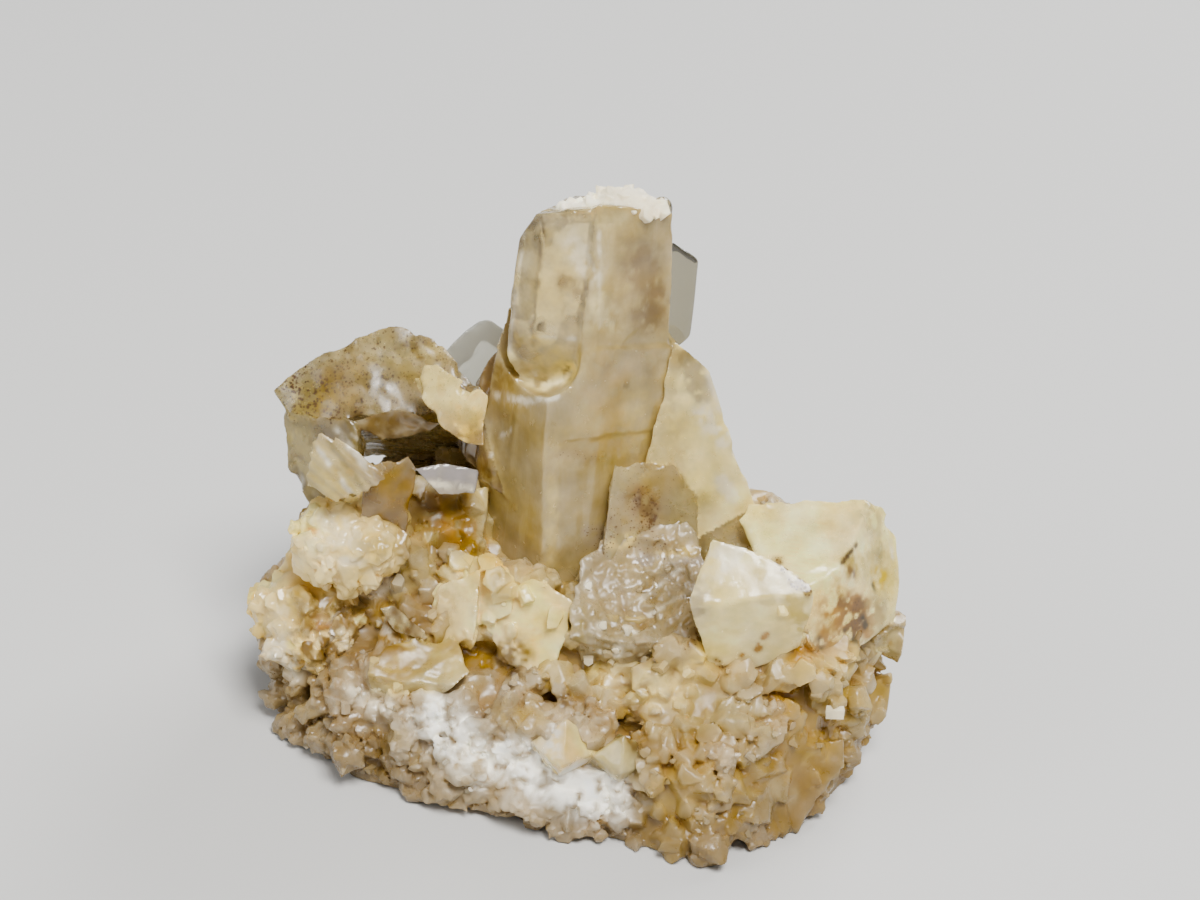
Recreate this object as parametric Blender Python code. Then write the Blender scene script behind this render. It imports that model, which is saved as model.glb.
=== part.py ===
# A hand specimen of pale amphibole crystals on their own broken rock matrix, 33 mm wide.
# One tall, honey coloured prism stands in the middle, with blocky crystals on both sides
# and a crust of small crystals round the foot. Everything in it grew into everything else,
# so it is one solid: each crystal is a cube trimmed to its own crystal faces, and a Boolean
# union joins them. Lengths are millimetres, turned into metres at the end.

import math
import random

import bmesh
import bpy
from mathutils import Matrix, Vector

MM = 0.001
CENTRE_X = 0.14     # moved so that the specimen stands over its own middle
CENTRE_Y = 0.19
GRAIN_SEED = 11
NAME = "crystal_cluster"

# Every crystal: its heart (x, y, z) and its faces. A face is (azimuth, elevation, distance):
# the direction it looks in, in degrees from +X towards +Y and up from the horizontal,
# and how far it lies from the heart.
CRYSTALS = {
    # the tall prism: lower body, then its upper half as a left and a right rod that grew
    # side by side, the left one ending in a blunt foot above the broken shoulder, and the
    # glass clear blade on its right
    "prism_lower": ((-0.9, 1.5, 13.0), [(-65, 5, 2.5), (-135, 0, 3.4), (170, 1, 4.7), (13, 1, 4.0), (46, 5, 3.9), (116, -3, 3.4), (0, 90, 8.2), (0, -90, 6.0)]),
    "prism_left": ((-0.9, 2.5, 21.0), [(-86, 5, 3.05), (-65, 5, 2.65), (-128, 3, 4.3), (175, 0, 3.9), (-90, -18, 2.7), (160, -31, 3.05), (158, -56, 2.95), (22, -43, -0.35), (125, 70, 6.3), (95, 70, 6.05), (157, 28, 5.05), (46, 5, 3.6), (116, -3, 3.2), (0, 0, 2.0)]),
    "prism_right": ((-0.9, 2.5, 21.0), [(-65, 5, 2.68), (12, 5, 3.15), (180, 0, 0.5), (95, 70, 6.1), (46, 5, 3.65), (116, -3, 3.25), (0, -90, 4.0)]),
    "clear_blade": ((2.4, 3.6, 22.5), [(-80, 8, 0.6), (51, 47, 2.1), (7, 0, 1.1), (-12, -39, 2.0), (100, -8, 0.4), (180, 0, 2.5), (72, 53, 2.3)]),
    "shoulder_behind": ((-5.3, 3.4, 16.6), [(-80, 25, 1.3), (160, 25, 1.0), (95, 45, 1.2), (-150, 0, 1.3), (0, 0, 2.5), (90, 0, 2.0), (0, -90, 4.0)]),
    # the whitish wedge leaning on its right side, and the blocks at its foot
    "wedge": ((3.6, 3.0, 13.5), [(-78, 10, 3.1), (27, 21, 2.5), (51, 35, 3.2), (58, 38, 3.4), (165, 1, 0.5), (90, 0, 2.6), (0, -90, 5.0)]),
    "foot_tan": ((3.8, 1.5, 11.7), [(-72, 12, 2.5), (107, 29, 0.5), (57, 35, 0.8), (16, 5, 0.8), (100, 0, 2.0), (180, 0, 3.0), (0, -90, 4.0)]),
    "foot_grey": ((6.3, 2.5, 11.2), [(-88, 25, 2.6), (83, 34, -0.1), (108, 31, -0.2), (14, 2, 1.2), (90, 0, 2.0), (180, 0, 3.0), (0, -90, 4.0)]),
    # small clear crystal behind the shoulder
    "clear_behind": ((-7.3, 8.2, 15.5), [(-75, 15, 1.2), (148, 25, 0.5), (100, 43, 1.2), (65, 38, 1.5), (13, -1, 1.9), (100, 0, 1.2), (180, -20, 1.9), (0, -90, 7.0)]),
    # the olive block on the left with its pale ledge
    "left_block": ((-11.0, 4.4, 15.0), [(-100, 42, 2.5), (137, 24, 2.4), (129, 23, 1.9), (115, 29, 1.7), (91, 33, 1.9), (64, 31, 2.1), (46, 26, 2.6), (-81, -44, 2.2), (-161, -38, 4.3), (90, 0, 4.0), (-5, 0, 5.2), (0, -90, 6.0)]),
    "left_side": ((-14.0, 3.0, 11.8), [(-115, 12, 2.5), (177, -9, 1.1), (-161, -44, 1.3), (81, 38, 0.5), (0, 0, 2.6), (90, 0, 2.4), (0, -90, 4.0)]),
    "pale_ledge": ((-7.5, 1.2, 16.4), [(-105, 28, 2.2), (153, 12, 1.3), (93, 33, 0.6), (66, 26, 0.1), (-142, -58, 0.7), (-164, -39, 0.5), (-76, -71, 1.3), (11, -6, 1.4), (90, 0, 2.4)]),
    "grey_lens": ((-10.1, 1.6, 14.7), [(-100, 10, 1.4), (103, 36, -0.1), (73, 32, -0.1), (-170, -64, 0.5), (-37, -81, 0.3), (2, -42, 0.9), (90, 0, 2.0)]),
    "striped": ((-12.1, -1.0, 13.9), [(-95, 18, 2.1), (148, 34, 1.3), (-154, 76, 2.6), (-4, 55, 2.1), (63, 32, -0.1), (16, -11, 1.2), (-2, -62, 0.8), (-172, -75, 0.9), (170, 5, 1.2), (90, 0, 2.2)]),
    "amber_chip": ((-9.5, -0.2, 12.7), [(-70, 10, 1.5), (122, 35, 0.3), (46, 24, 0.3), (14, -2, 0.4), (180, 0, 1.6), (90, 0, 1.6), (0, -90, 2.2)]),
    "blue_blade": ((-7.2, 0.6, 12.7), [(-85, 28, 1.4), (108, 33, -0.1), (92, 34, -0.2), (-162, -50, 0.7), (38, -83, -0.3), (90, 0, 1.8), (0, 0, 3.3)]),
    "rusty_back": ((-7.6, 1.2, 9.2), [(-88, 30, 2.2), (106, 33, 1.0), (100, 34, 0.9), (166, -8, 1.7), (0, 0, 2.6), (90, 0, 1.6), (0, -90, 3.0)]),
    "brown_slope": ((-7.9, -1.2, 7.2), [(-92, 36, 2.1), (103, 32, 0.9), (168, -12, 0.4), (0, 0, 1.8), (90, 0, 1.8), (0, -90, 2.5)]),
    # cream plates in the middle
    "hex_plate": ((-2.2, -3.2, 7.5), [(-96, 24, 1.4), (109, 30, 1.2), (72, 35, 1.3), (67, 34, 1.3), (9, -7, 1.6), (0, -21, 1.6), (-5, -68, 1.3), (-163, -77, 1.3), (-169, -50, 1.5), (177, -14, 1.8), (149, 12, 1.7), (90, -20, 1.6)]),
    "cream_plate": ((-4.7, -2.6, 8.6), [(-110, 20, 1.3), (152, 10, 0.7), (90, 30, 0.7), (43, 19, 0.8), (168, 1, 0.9), (-155, -61, 1.4), (-9, -59, 0.7), (0, 0, 1.5), (90, 0, 1.8)]),
    "cream_knob": ((-5.7, -1.8, 9.2), [(-100, 20, 1.1), (144, 19, 0.2), (71, 30, 0.1), (174, -4, 0.4), (0, 0, 1.2), (90, 0, 1.4), (0, -60, 1.4)]),
    "cream_slab": ((-6.5, -2.6, 7.2), [(-120, 20, 1.5), (162, 6, 0.2), (108, 34, 0.5), (-148, -62, 1.1), (-6, -60, 0.7), (0, 0, 1.6), (90, 0, 1.4)]),
    # the creamy white crystal and the big block on the right
    "white_crystal": ((7.9, -3.2, 10.4), [(-92, 42, 2.0), (-179, -20, 1.6), (76, 33, 1.4), (66, 30, 1.2), (60, 28, 1.3), (-78, -3, 1.8), (-81, -12, 1.5), (166, 3, 1.7), (-163, -55, 3.4), (-144, -74, 3.4), (-19, -65, 3.4), (-10, -45, 3.3), (1, -2, 2.9), (23, 22, 2.6), (90, 0, 3.0)]),
    "right_block": ((11.2, 1.2, 10.5), [(-88, 66, 1.9), (156, 1, 3.6), (96, 9, 1.8), (106, 7, 1.8), (87, 15, 3.6), (-35, 29, 2.3), (-54, 9, 2.5), (15, 12, 4.8), (10, 5, 4.3), (5, -2, 4.4), (-14, -53, 4.8), (-171, -35, 2.3), (90, 0, 3.6), (0, -90, 4.5)]),
    "right_foot": ((15.1, 1.0, 6.5), [(-65, 20, 1.7), (19, 21, 0.9), (-4, -32, 0.3), (-49, -81, -0.1), (115, 13, -0.5), (180, 0, 2.4), (90, 0, 1.5)]),
    # grey glassy seat broken out between the prism and the white crystal
    "grey_seat": ((3.2, -1.0, 8.2), [(-92, 52, 3.1), (162, -7, 2.2), (95, -2, 0.4), (19, -1, 2.1), (176, -18, 2.7), (-89, -16, 4.2), (3, -15, 2.3), (90, 0, 2.5), (0, -90, 4.0)]),
    # flat crystals and little pyramids on the front crust
    "flat_crystal": ((-7.5, -5.0, 5.0), [(-95, 60, 1.7), (152, -3, 1.0), (103, 5, 0.1), (28, -4, 1.6), (-3, -41, 1.1), (-101, -14, 2.0), (-86, -15, 1.9), (90, 20, 1.4), (0, -90, 1.6)]),
    "clear_sliver": ((-8.4, -3.8, 7.0), [(-70, 30, 1.2), (112, 25, 0.1), (-167, -39, 0.2), (-119, -67, 0.3), (61, 24, -0.1), (90, 0, 1.4)]),
    "pyramid_left": ((-0.1, -7.6, 3.4), [(-128, 34, 1.2), (-38, 36, 1.1), (150, 40, 1.0), (60, 40, 0.9), (0, -90, 2.0)]),
    "pyramid_right": ((2.7, -7.3, 2.8), [(-125, 38, 1.2), (-35, 30, 1.0), (150, 38, 0.9), (60, 36, 0.8), (0, -90, 2.0)]),
    # the rock: lower and upper tier, then the crusts on its front
    "rock_low": ((0.5, 0.0, 3.0), [(0, -90, 4.0), (-146, 0, 12.8), (-90, 16, 7.9), (-101, 16, 8.1), (-56, 16, 11.0), (-34, 12, 11.7), (-8, 6, 13.1), (30, 8, 12.6), (68, 10, 10.3), (98, 12, 9.7), (140, 6, 12.9), (178, -14, 14.6), (-92, 72, 4.1), (-140, 50, 8.7)]),
    "rock_high": ((0.5, 1.5, 6.0), [(0, -90, 4.0), (-95, 38, 5.1), (-72, 42, 7.1), (-40, 30, 10.0), (-2, 10, 11.7), (40, 20, 10.5), (85, 20, 7.2), (120, 18, 9.5), (175, -8, 13.9), (-135, 25, 9.7), (0, 90, 3.2)]),
    "crust_amber": ((9.0, -3.0, 4.0), [(-88, 42, 4.2), (-58, 34, 3.3), (-20, 10, 3.9), (0, -90, 5.0), (-165, 10, 6.2), (90, 0, 5.0), (0, 90, 4.4), (-100, 14, 6.3), (-56, 16, 3.6)]),
    "crust_pink": ((5.7, -6.5, -0.2), [(-96, 20, 3.3), (179, 54, 4.4), (157, 76, 4.3), (168, 68, 4.0), (5, -3, 2.4), (167, -6, 2.9), (90, 0, 2.5), (0, -90, 3.0)]),
    "crust_right": ((10.6, -4.5, -0.3), [(-66, 16, 3.2), (135, 67, 4.3), (168, -11, 0.6), (56, 46, 3.0), (-15, -28, 1.5), (90, 0, 3.0), (0, -90, 4.0)]),
    "crust_edge": ((14.3, 0.5, 0.1), [(-60, 10, 2.6), (18, 19, 0.5), (-2, -9, 0.3), (125, 26, 0.7), (180, 0, 2.4), (90, 0, 2.5), (0, -90, 2.5)]),
    "crust_white": ((-2.9, -6.0, 1.1), [(-98, 20, 2.9), (167, 73, 4.2), (25, 68, 3.0), (26, 77, 3.0), (174, -2, 4.7), (18, 9, 4.1), (-87, -33, 2.5), (-110, -30, 2.4), (90, 0, 1.8)]),
    "crust_middle": ((0.8, -7.0, 0.0), [(-98, 24, 3.4), (142, 66, 3.0), (99, 73, 2.8), (-145, -50, 1.2), (169, 0, 2.8), (-60, 5, 2.9), (17, 8, 2.8), (90, 0, 2.0), (0, -90, 3.0)]),
    # crystals on the far side
    "back_prism": ((5.2, 6.4, 9.6), [(60, 20, 1.5), (120, 12, 1.7), (0, -10, 1.9), (180, 10, 1.7), (-90, -20, 1.8), (75, 65, 3.0), (20, 50, 2.8), (0, -80, 4.5)]),
    "back_block": ((-3.2, 7.0, 9.2), [(88, 18, 1.9), (35, 5, 2.2), (150, 8, 3.3), (-90, -10, 2.5), (100, 70, 2.2), (-20, 40, 2.4), (0, -80, 4.0)]),
    "back_tip": ((10.4, 6.2, 7.8), [(50, 15, 1.4), (110, 20, 1.3), (-10, 0, 1.4), (180, 0, 1.6), (-90, 0, 2.0), (65, 60, 1.9), (0, -80, 4.0)]),
    "back_left": ((-9.6, 7.4, 7.6), [(105, 22, 1.6), (165, 10, 1.8), (45, 10, 2.7), (-90, 0, 2.4), (120, 68, 1.9), (0, -80, 4.0)]),
}

# Rounded lumps: centre, half axes, turn about Y in degrees.
LUMPS = {
    "rosette": ((-11.4, -2.5, 10.2), (2.8, 2.2, 1.9), -10),
    "left_bulge": ((-13.1, -2.0, 5.6), (2.5, 2.5, 2.6), 0),
    "white_cap": ((-0.2, 1.7, 27.9), (1.6, 1.0, 0.75), -6),
    "cap_tail": ((-2.2, 1.3, 27.55), (1.1, 0.8, 0.35), -6),
    "cap_bead": ((1.35, 1.9, 27.8), (0.5, 0.5, 0.65), 0),
}

# Broken out of one crystal before the others close on it: host, centre, half axes.
CHIPS = {
    "shoulder_chip": ("prism_lower", (-3.7, -0.2, 21.7), (2.8, 3.6, 3.0)),
    "seat_scoop": ("grey_seat", (2.7, -5.9, 13.5), (5.0, 5.0, 5.0)),
    "seat_scoop_rock": ("rock_high", (2.7, -5.9, 13.5), (5.05, 5.05, 5.05)),
    "block_dip": ("right_block", (9.6, 0.4, 14.6), (2.6, 2.6, 1.6)),
}

# Hollows in the finished cluster: centre, half axes.
HOLLOWS = {
    "cavity_left": ((-7.3, -1.6, 13.1), (2.6, 2.6, 1.5)),
    "cavity_amber": ((-10.4, -4.2, 6.2), (1.8, 1.5, 1.1)),
    "under_plates": ((-4.6, -4.9, 6.3), (1.6, 1.2, 0.8)),
    "front_eye": ((-0.4, -6.1, 5.1), (0.8, 0.7, 0.5)),
    "front_groove": ((1.7, -6.6, 5.0), (1.5, 0.9, 0.7)),
    "front_groove_low": ((3.4, -7.4, 4.5), (1.3, 0.8, 0.7)),
    "foot_lifted": ((-4.3, -9.6, -0.2), (3.4, 1.5, 1.0)),
    "foot_notch": ((9.0, -9.7, 0.2), (0.5, 1.6, 0.9)),
    "foot_hollow": ((-1.0, 3.5, -0.9), (4.2, 3.6, 1.5)),
}

# Druse of small blocky crystals: host, which of its faces (none for a lump), how many,
# least and greatest width.
DRUSE = [
    ("rosette", (), 24, 1.1, 1.7),
    ("left_bulge", (), 24, 0.9, 1.6),
    ("crust_white", (0, 1, 2, 3), 26, 0.8, 1.3),
    ("crust_middle", (0, 1, 2), 16, 0.8, 1.4),
    ("crust_pink", (0, 2, 3), 12, 0.9, 1.6),
    ("crust_right", (0, 1), 8, 0.9, 1.6),
    ("crust_edge", (0, 1, 2), 5, 0.9, 1.4),
    ("rock_low", (1, 13), 24, 1.0, 1.9),
    ("rock_low", (2, 3, 4, 12), 22, 0.9, 1.7),
    ("rock_low", (5, 6, 7, 8, 9, 10, 11), 46, 1.2, 2.6),
    ("rock_high", (1, 2), 6, 0.8, 1.3),
    ("rock_high", (3, 4, 5, 6, 7, 8), 26, 1.2, 2.6),
    ("crust_amber", (0, 1, 2, 7, 8), 30, 0.8, 1.7),
]


def direction(azimuth, elevation):
    a, e = math.radians(azimuth), math.radians(elevation)
    return Vector((math.cos(e) * math.cos(a), math.cos(e) * math.sin(a), math.sin(e)))


def trimmed_block(faces, half=14.0):
    """A cube, bisected at each face and closed again."""
    bm = bmesh.new()
    bmesh.ops.create_cube(bm, size=2 * half)
    for azimuth, elevation, distance in faces:
        normal = direction(azimuth, elevation)
        cut = bmesh.ops.bisect_plane(
            bm,
            geom=bm.verts[:] + bm.edges[:] + bm.faces[:],
            dist=1e-5,
            plane_co=normal * distance,
            plane_no=normal,
            clear_outer=True,
        )
        edges = [e for e in cut["geom_cut"] if isinstance(e, bmesh.types.BMEdge) and e.is_valid]
        if edges:
            bmesh.ops.edgeloop_fill(bm, edges=edges)
    bmesh.ops.remove_doubles(bm, verts=bm.verts[:], dist=0.02)
    bmesh.ops.recalc_face_normals(bm, faces=bm.faces[:])
    return bm


def keep(bm, name, group, at, turn=None):
    """Writes the mesh into a named helper object, scaled to metres."""
    place = Matrix.Translation(Vector(at)) @ (turn or Matrix.Identity(4))
    bmesh.ops.transform(bm, matrix=Matrix.Scale(MM, 4) @ place, verts=bm.verts[:])
    mesh = bpy.data.meshes.new(name)
    bm.to_mesh(mesh)
    bm.free()
    obj = bpy.data.objects.new(name, mesh)
    group.objects.link(obj)
    obj.hide_render = True
    obj.display_type = "WIRE"
    return obj


def lump(radii, turn_y, detail, rng, rough):
    """A geodesic ball pushed in and out a little, stretched to its half axes."""
    bm = bmesh.new()
    bmesh.ops.create_icosphere(bm, subdivisions=detail, radius=1.0)
    for v in bm.verts:
        v.co *= 1.0 + rng.uniform(-rough, rough)
        v.co = Vector((v.co.x * radii[0], v.co.y * radii[1], v.co.z * radii[2]))
    return bm, Matrix.Rotation(math.radians(turn_y), 4, "Y")


def facet_outline(faces, index):
    """Corners of one face of a block, relative to its heart."""
    normal = direction(*faces[index][:2])
    side = normal.orthogonal().normalized()
    other = normal.cross(side)
    middle = normal * faces[index][2]
    outline = [middle + side * (14 * i) + other * (14 * j) for i, j in ((1, 1), (-1, 1), (-1, -1), (1, -1))]
    for k, (azimuth, elevation, distance) in enumerate(faces):
        if k == index:
            continue
        cut, kept = direction(azimuth, elevation), []
        for a, b in zip(outline, outline[1:] + outline[:1]):
            da, db = a.dot(cut) - distance, b.dot(cut) - distance
            if da <= 0:
                kept.append(a)
            if (da < 0) != (db < 0):
                kept.append(a.lerp(b, da / (da - db)))
        outline = kept
        if len(outline) < 3:
            return []
    return outline


def point_on(outline, rng):
    """A random point of a flat outline, spread evenly over its area."""
    fan = [(outline[0], outline[i], outline[i + 1]) for i in range(1, len(outline) - 1)]
    sizes = [(b - a).cross(c - a).length for a, b, c in fan]
    pick = rng.uniform(0, sum(sizes))
    for (a, b, c), size in zip(fan, sizes):
        if pick <= size:
            break
        pick -= size
    u, v = rng.random(), rng.random()
    if u + v > 1:
        u, v = 1 - u, 1 - v
    return a + (b - a) * u + (c - a) * v


def small_crystal(width, rng):
    """A blocky little crystal: a cube trimmed by a handful of faces at random slants."""
    faces = []
    for k in range(7):
        faces.append((k * 51.4 + rng.uniform(-18, 18), rng.uniform(-12, 30), width * rng.uniform(0.34, 0.5)))
    faces.append((rng.uniform(0, 360), rng.uniform(50, 80), width * rng.uniform(0.3, 0.5)))
    return trimmed_block(faces, width * 0.62)


def grow_druse(group):
    rng = random.Random(GRAIN_SEED)
    number = 0
    for host, indices, count, low, high in DRUSE:
        for _ in range(count):
            if host in LUMPS:
                heart, radii, turn_y = LUMPS[host]
                out = direction(rng.uniform(-185, 45), rng.uniform(-35, 75))
                spot = Vector((out.x * radii[0], out.y * radii[1], out.z * radii[2]))
                spot = Matrix.Rotation(math.radians(turn_y), 3, "Y") @ spot
            else:
                heart, faces = CRYSTALS[host]
                outlines = [(facet_outline(faces, i), i) for i in indices]
                outlines = [o for o in outlines if len(o[0]) > 2]
                sizes = [sum((o[0][k] - o[0][0]).cross(o[0][k + 1] - o[0][0]).length for k in range(1, len(o[0]) - 1)) for o in outlines]
                outline, i = rng.choices(outlines, sizes)[0]
                spot, out = point_on(outline, rng), direction(*faces[i][:2])
            width = rng.uniform(low, high)
            lean = Vector((rng.gauss(0, 0.35), rng.gauss(0, 0.35), rng.gauss(0, 0.35)))
            aim = (out + lean).normalized()
            at = Vector(heart) + spot - out * (0.22 * width)
            if at.z < 0.3 * width:
                continue
            turn = aim.to_track_quat("Z", "Y").to_matrix().to_4x4() @ Matrix.Rotation(rng.uniform(0, math.pi), 4, "Z")
            number += 1
            keep(small_crystal(width, rng), "druse_%03d" % number, group, at, turn)


def boolean(obj, label, operation, group=None, tool=None):
    """Adds an exact Boolean with every mesh of a group, or with one tool."""
    step = obj.modifiers.new(label, "BOOLEAN")
    step.operation = operation
    step.solver = "EXACT"
    if group:
        step.operand_type = "COLLECTION"
        step.collection = group
    else:
        step.object = tool


def settle(obj):
    """Applies the Booleans, then leaves the one grown body: no loose crumb, no closed void."""
    grown = bpy.data.meshes.new_from_object(obj.evaluated_get(bpy.context.evaluated_depsgraph_get()))
    bm = bmesh.new()
    bm.from_mesh(grown)
    bmesh.ops.remove_doubles(bm, verts=bm.verts[:], dist=2e-7)
    seen, islands = set(), []
    for start in bm.verts:
        if start in seen:
            continue
        island, edge_of = [start], [start]
        seen.add(start)
        while edge_of:
            for edge in edge_of.pop().link_edges:
                for v in edge.verts:
                    if v not in seen:
                        seen.add(v)
                        island.append(v)
                        edge_of.append(v)
        islands.append(island)
    islands.sort(key=len)
    bmesh.ops.delete(bm, geom=[v for island in islands[:-1] for v in island], context="VERTS")
    bmesh.ops.triangulate(bm, faces=bm.faces[:])
    bm.to_mesh(grown)
    bm.free()
    obj.modifiers.clear()
    obj.data = grown


def crystal_material():
    material = bpy.data.materials.new("pale_amphibole")
    material.use_nodes = True
    surface = material.node_tree.nodes["Principled BSDF"]
    surface.inputs["Base Color"].default_value = (0.60, 0.50, 0.33, 1.0)
    surface.inputs["Roughness"].default_value = 0.35
    surface.inputs["Metallic"].default_value = 0.0
    return material


def main():
    for obj in list(bpy.data.objects):
        bpy.data.objects.remove(obj, do_unlink=True)
    scene = bpy.context.scene.collection
    home = bpy.data.collections.new("amphibole_specimen")
    growth = bpy.data.collections.new("growth_shapes")
    chips = bpy.data.collections.new("chip_shapes")
    hollow = bpy.data.collections.new("hollow_shapes")
    for group in (home, growth, chips, hollow):
        scene.children.link(group)
        group.hide_render = group is not home

    rng = random.Random(GRAIN_SEED + 1)
    for name, (heart, faces) in CRYSTALS.items():
        if name != "rock_low":
            keep(trimmed_block(faces), name + "_shape", growth, heart)
    for name, (host, heart, radii) in CHIPS.items():
        bm, turn = lump(radii, 0, 3 if max(radii) > 4 else 2, rng, 0.015)
        tool = keep(bm, name, chips, heart, turn)
        boolean(bpy.data.objects[host + "_shape"], name, "DIFFERENCE", tool=tool)
    for name, (heart, radii, turn_y) in LUMPS.items():
        bm, turn = lump(radii, turn_y, 1 if name == "cap_bead" else 2, rng, 0.05)
        keep(bm, name + "_shape", growth, heart, turn)
    grow_druse(growth)
    for name, (heart, radii) in HOLLOWS.items():
        bm, turn = lump(radii, 0, 2, rng, 0.06)
        keep(bm, name + "_shape", hollow, heart, turn)
    ground = bmesh.new()
    bmesh.ops.create_cube(ground, size=1.0)
    keep(ground, "ground_shape", hollow, (0, 0, -6), Matrix.Diagonal((60, 60, 12, 1)))

    heart, faces = CRYSTALS["rock_low"]
    body = keep(trimmed_block(faces, 18.0), NAME, home, heart)
    body.hide_render = False
    body.display_type = "TEXTURED"
    body.data.materials.append(crystal_material())
    boolean(body, "grown_together", "UNION", growth)
    boolean(body, "hollows", "DIFFERENCE", hollow)
    settle(body)
    body.location = (CENTRE_X * MM, CENTRE_Y * MM, 0.0)
    for group in (growth, chips, hollow):
        for obj in group.objects:
            obj.location = body.location


main()
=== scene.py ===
import math

import bmesh
import bpy
import numpy as np
from mathutils import Matrix, Vector
from mathutils.bvhtree import BVHTree


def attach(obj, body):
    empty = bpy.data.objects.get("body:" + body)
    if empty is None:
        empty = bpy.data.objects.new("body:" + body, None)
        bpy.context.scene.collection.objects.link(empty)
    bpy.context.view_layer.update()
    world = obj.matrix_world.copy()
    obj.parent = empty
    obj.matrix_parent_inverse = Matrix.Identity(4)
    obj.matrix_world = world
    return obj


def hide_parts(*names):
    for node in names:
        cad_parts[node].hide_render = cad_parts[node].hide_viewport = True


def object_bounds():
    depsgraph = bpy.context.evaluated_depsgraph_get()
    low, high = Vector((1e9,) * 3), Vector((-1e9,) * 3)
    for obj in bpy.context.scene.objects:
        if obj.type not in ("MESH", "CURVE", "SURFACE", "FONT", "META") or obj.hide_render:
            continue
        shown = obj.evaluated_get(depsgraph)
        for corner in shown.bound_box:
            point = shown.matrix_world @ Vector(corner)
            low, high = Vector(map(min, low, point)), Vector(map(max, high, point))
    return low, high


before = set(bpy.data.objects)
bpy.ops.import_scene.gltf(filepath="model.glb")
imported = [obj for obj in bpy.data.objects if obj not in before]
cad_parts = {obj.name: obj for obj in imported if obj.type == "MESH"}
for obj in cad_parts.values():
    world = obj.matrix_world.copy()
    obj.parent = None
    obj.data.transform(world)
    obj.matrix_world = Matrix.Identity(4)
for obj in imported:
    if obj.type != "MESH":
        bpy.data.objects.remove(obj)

cad_box = [[float(c) for c in corner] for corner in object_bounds()]

# Lengths are millimetres in the cluster's own frame; SHIFT takes them to the part's frame.
MM = 0.001
SHIFT = np.array((0.14, 0.19, 0.0))
ROOM_LO = np.array(cad_box[0]) / MM - SHIFT + 0.015
ROOM_HI = np.array(cad_box[1]) / MM - SHIFT - 0.015

# ------------------------------------------------------------------ camera
PITCH, ROLL, LENS, SENSOR = math.radians(30), math.radians(7.5), 85.0, 36.0
EYE = np.array((0.0, -117.908, 83.778))
ahead = np.array((0.0, math.cos(PITCH), -math.sin(PITCH)))
flat_up = np.array((0.0, math.sin(PITCH), math.cos(PITCH)))
cam_right = np.array((math.cos(ROLL), 0.0, 0.0)) + math.sin(ROLL) * flat_up
cam_up = np.array((-math.sin(ROLL), 0.0, 0.0)) + math.cos(ROLL) * flat_up
PIXELS = LENS / SENSOR * 1200


def ray(u, v):
    """Direction from the eye through a point of the 1200 x 900 picture."""
    d = ahead + (u - 600) / PIXELS * cam_right - (v - 450) / PIXELS * cam_up
    return d / np.linalg.norm(d)


def direction(azimuth, elevation):
    a, e = math.radians(azimuth), math.radians(elevation)
    return np.array((math.cos(e) * math.cos(a), math.cos(e) * math.sin(a), math.sin(e)))


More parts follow.
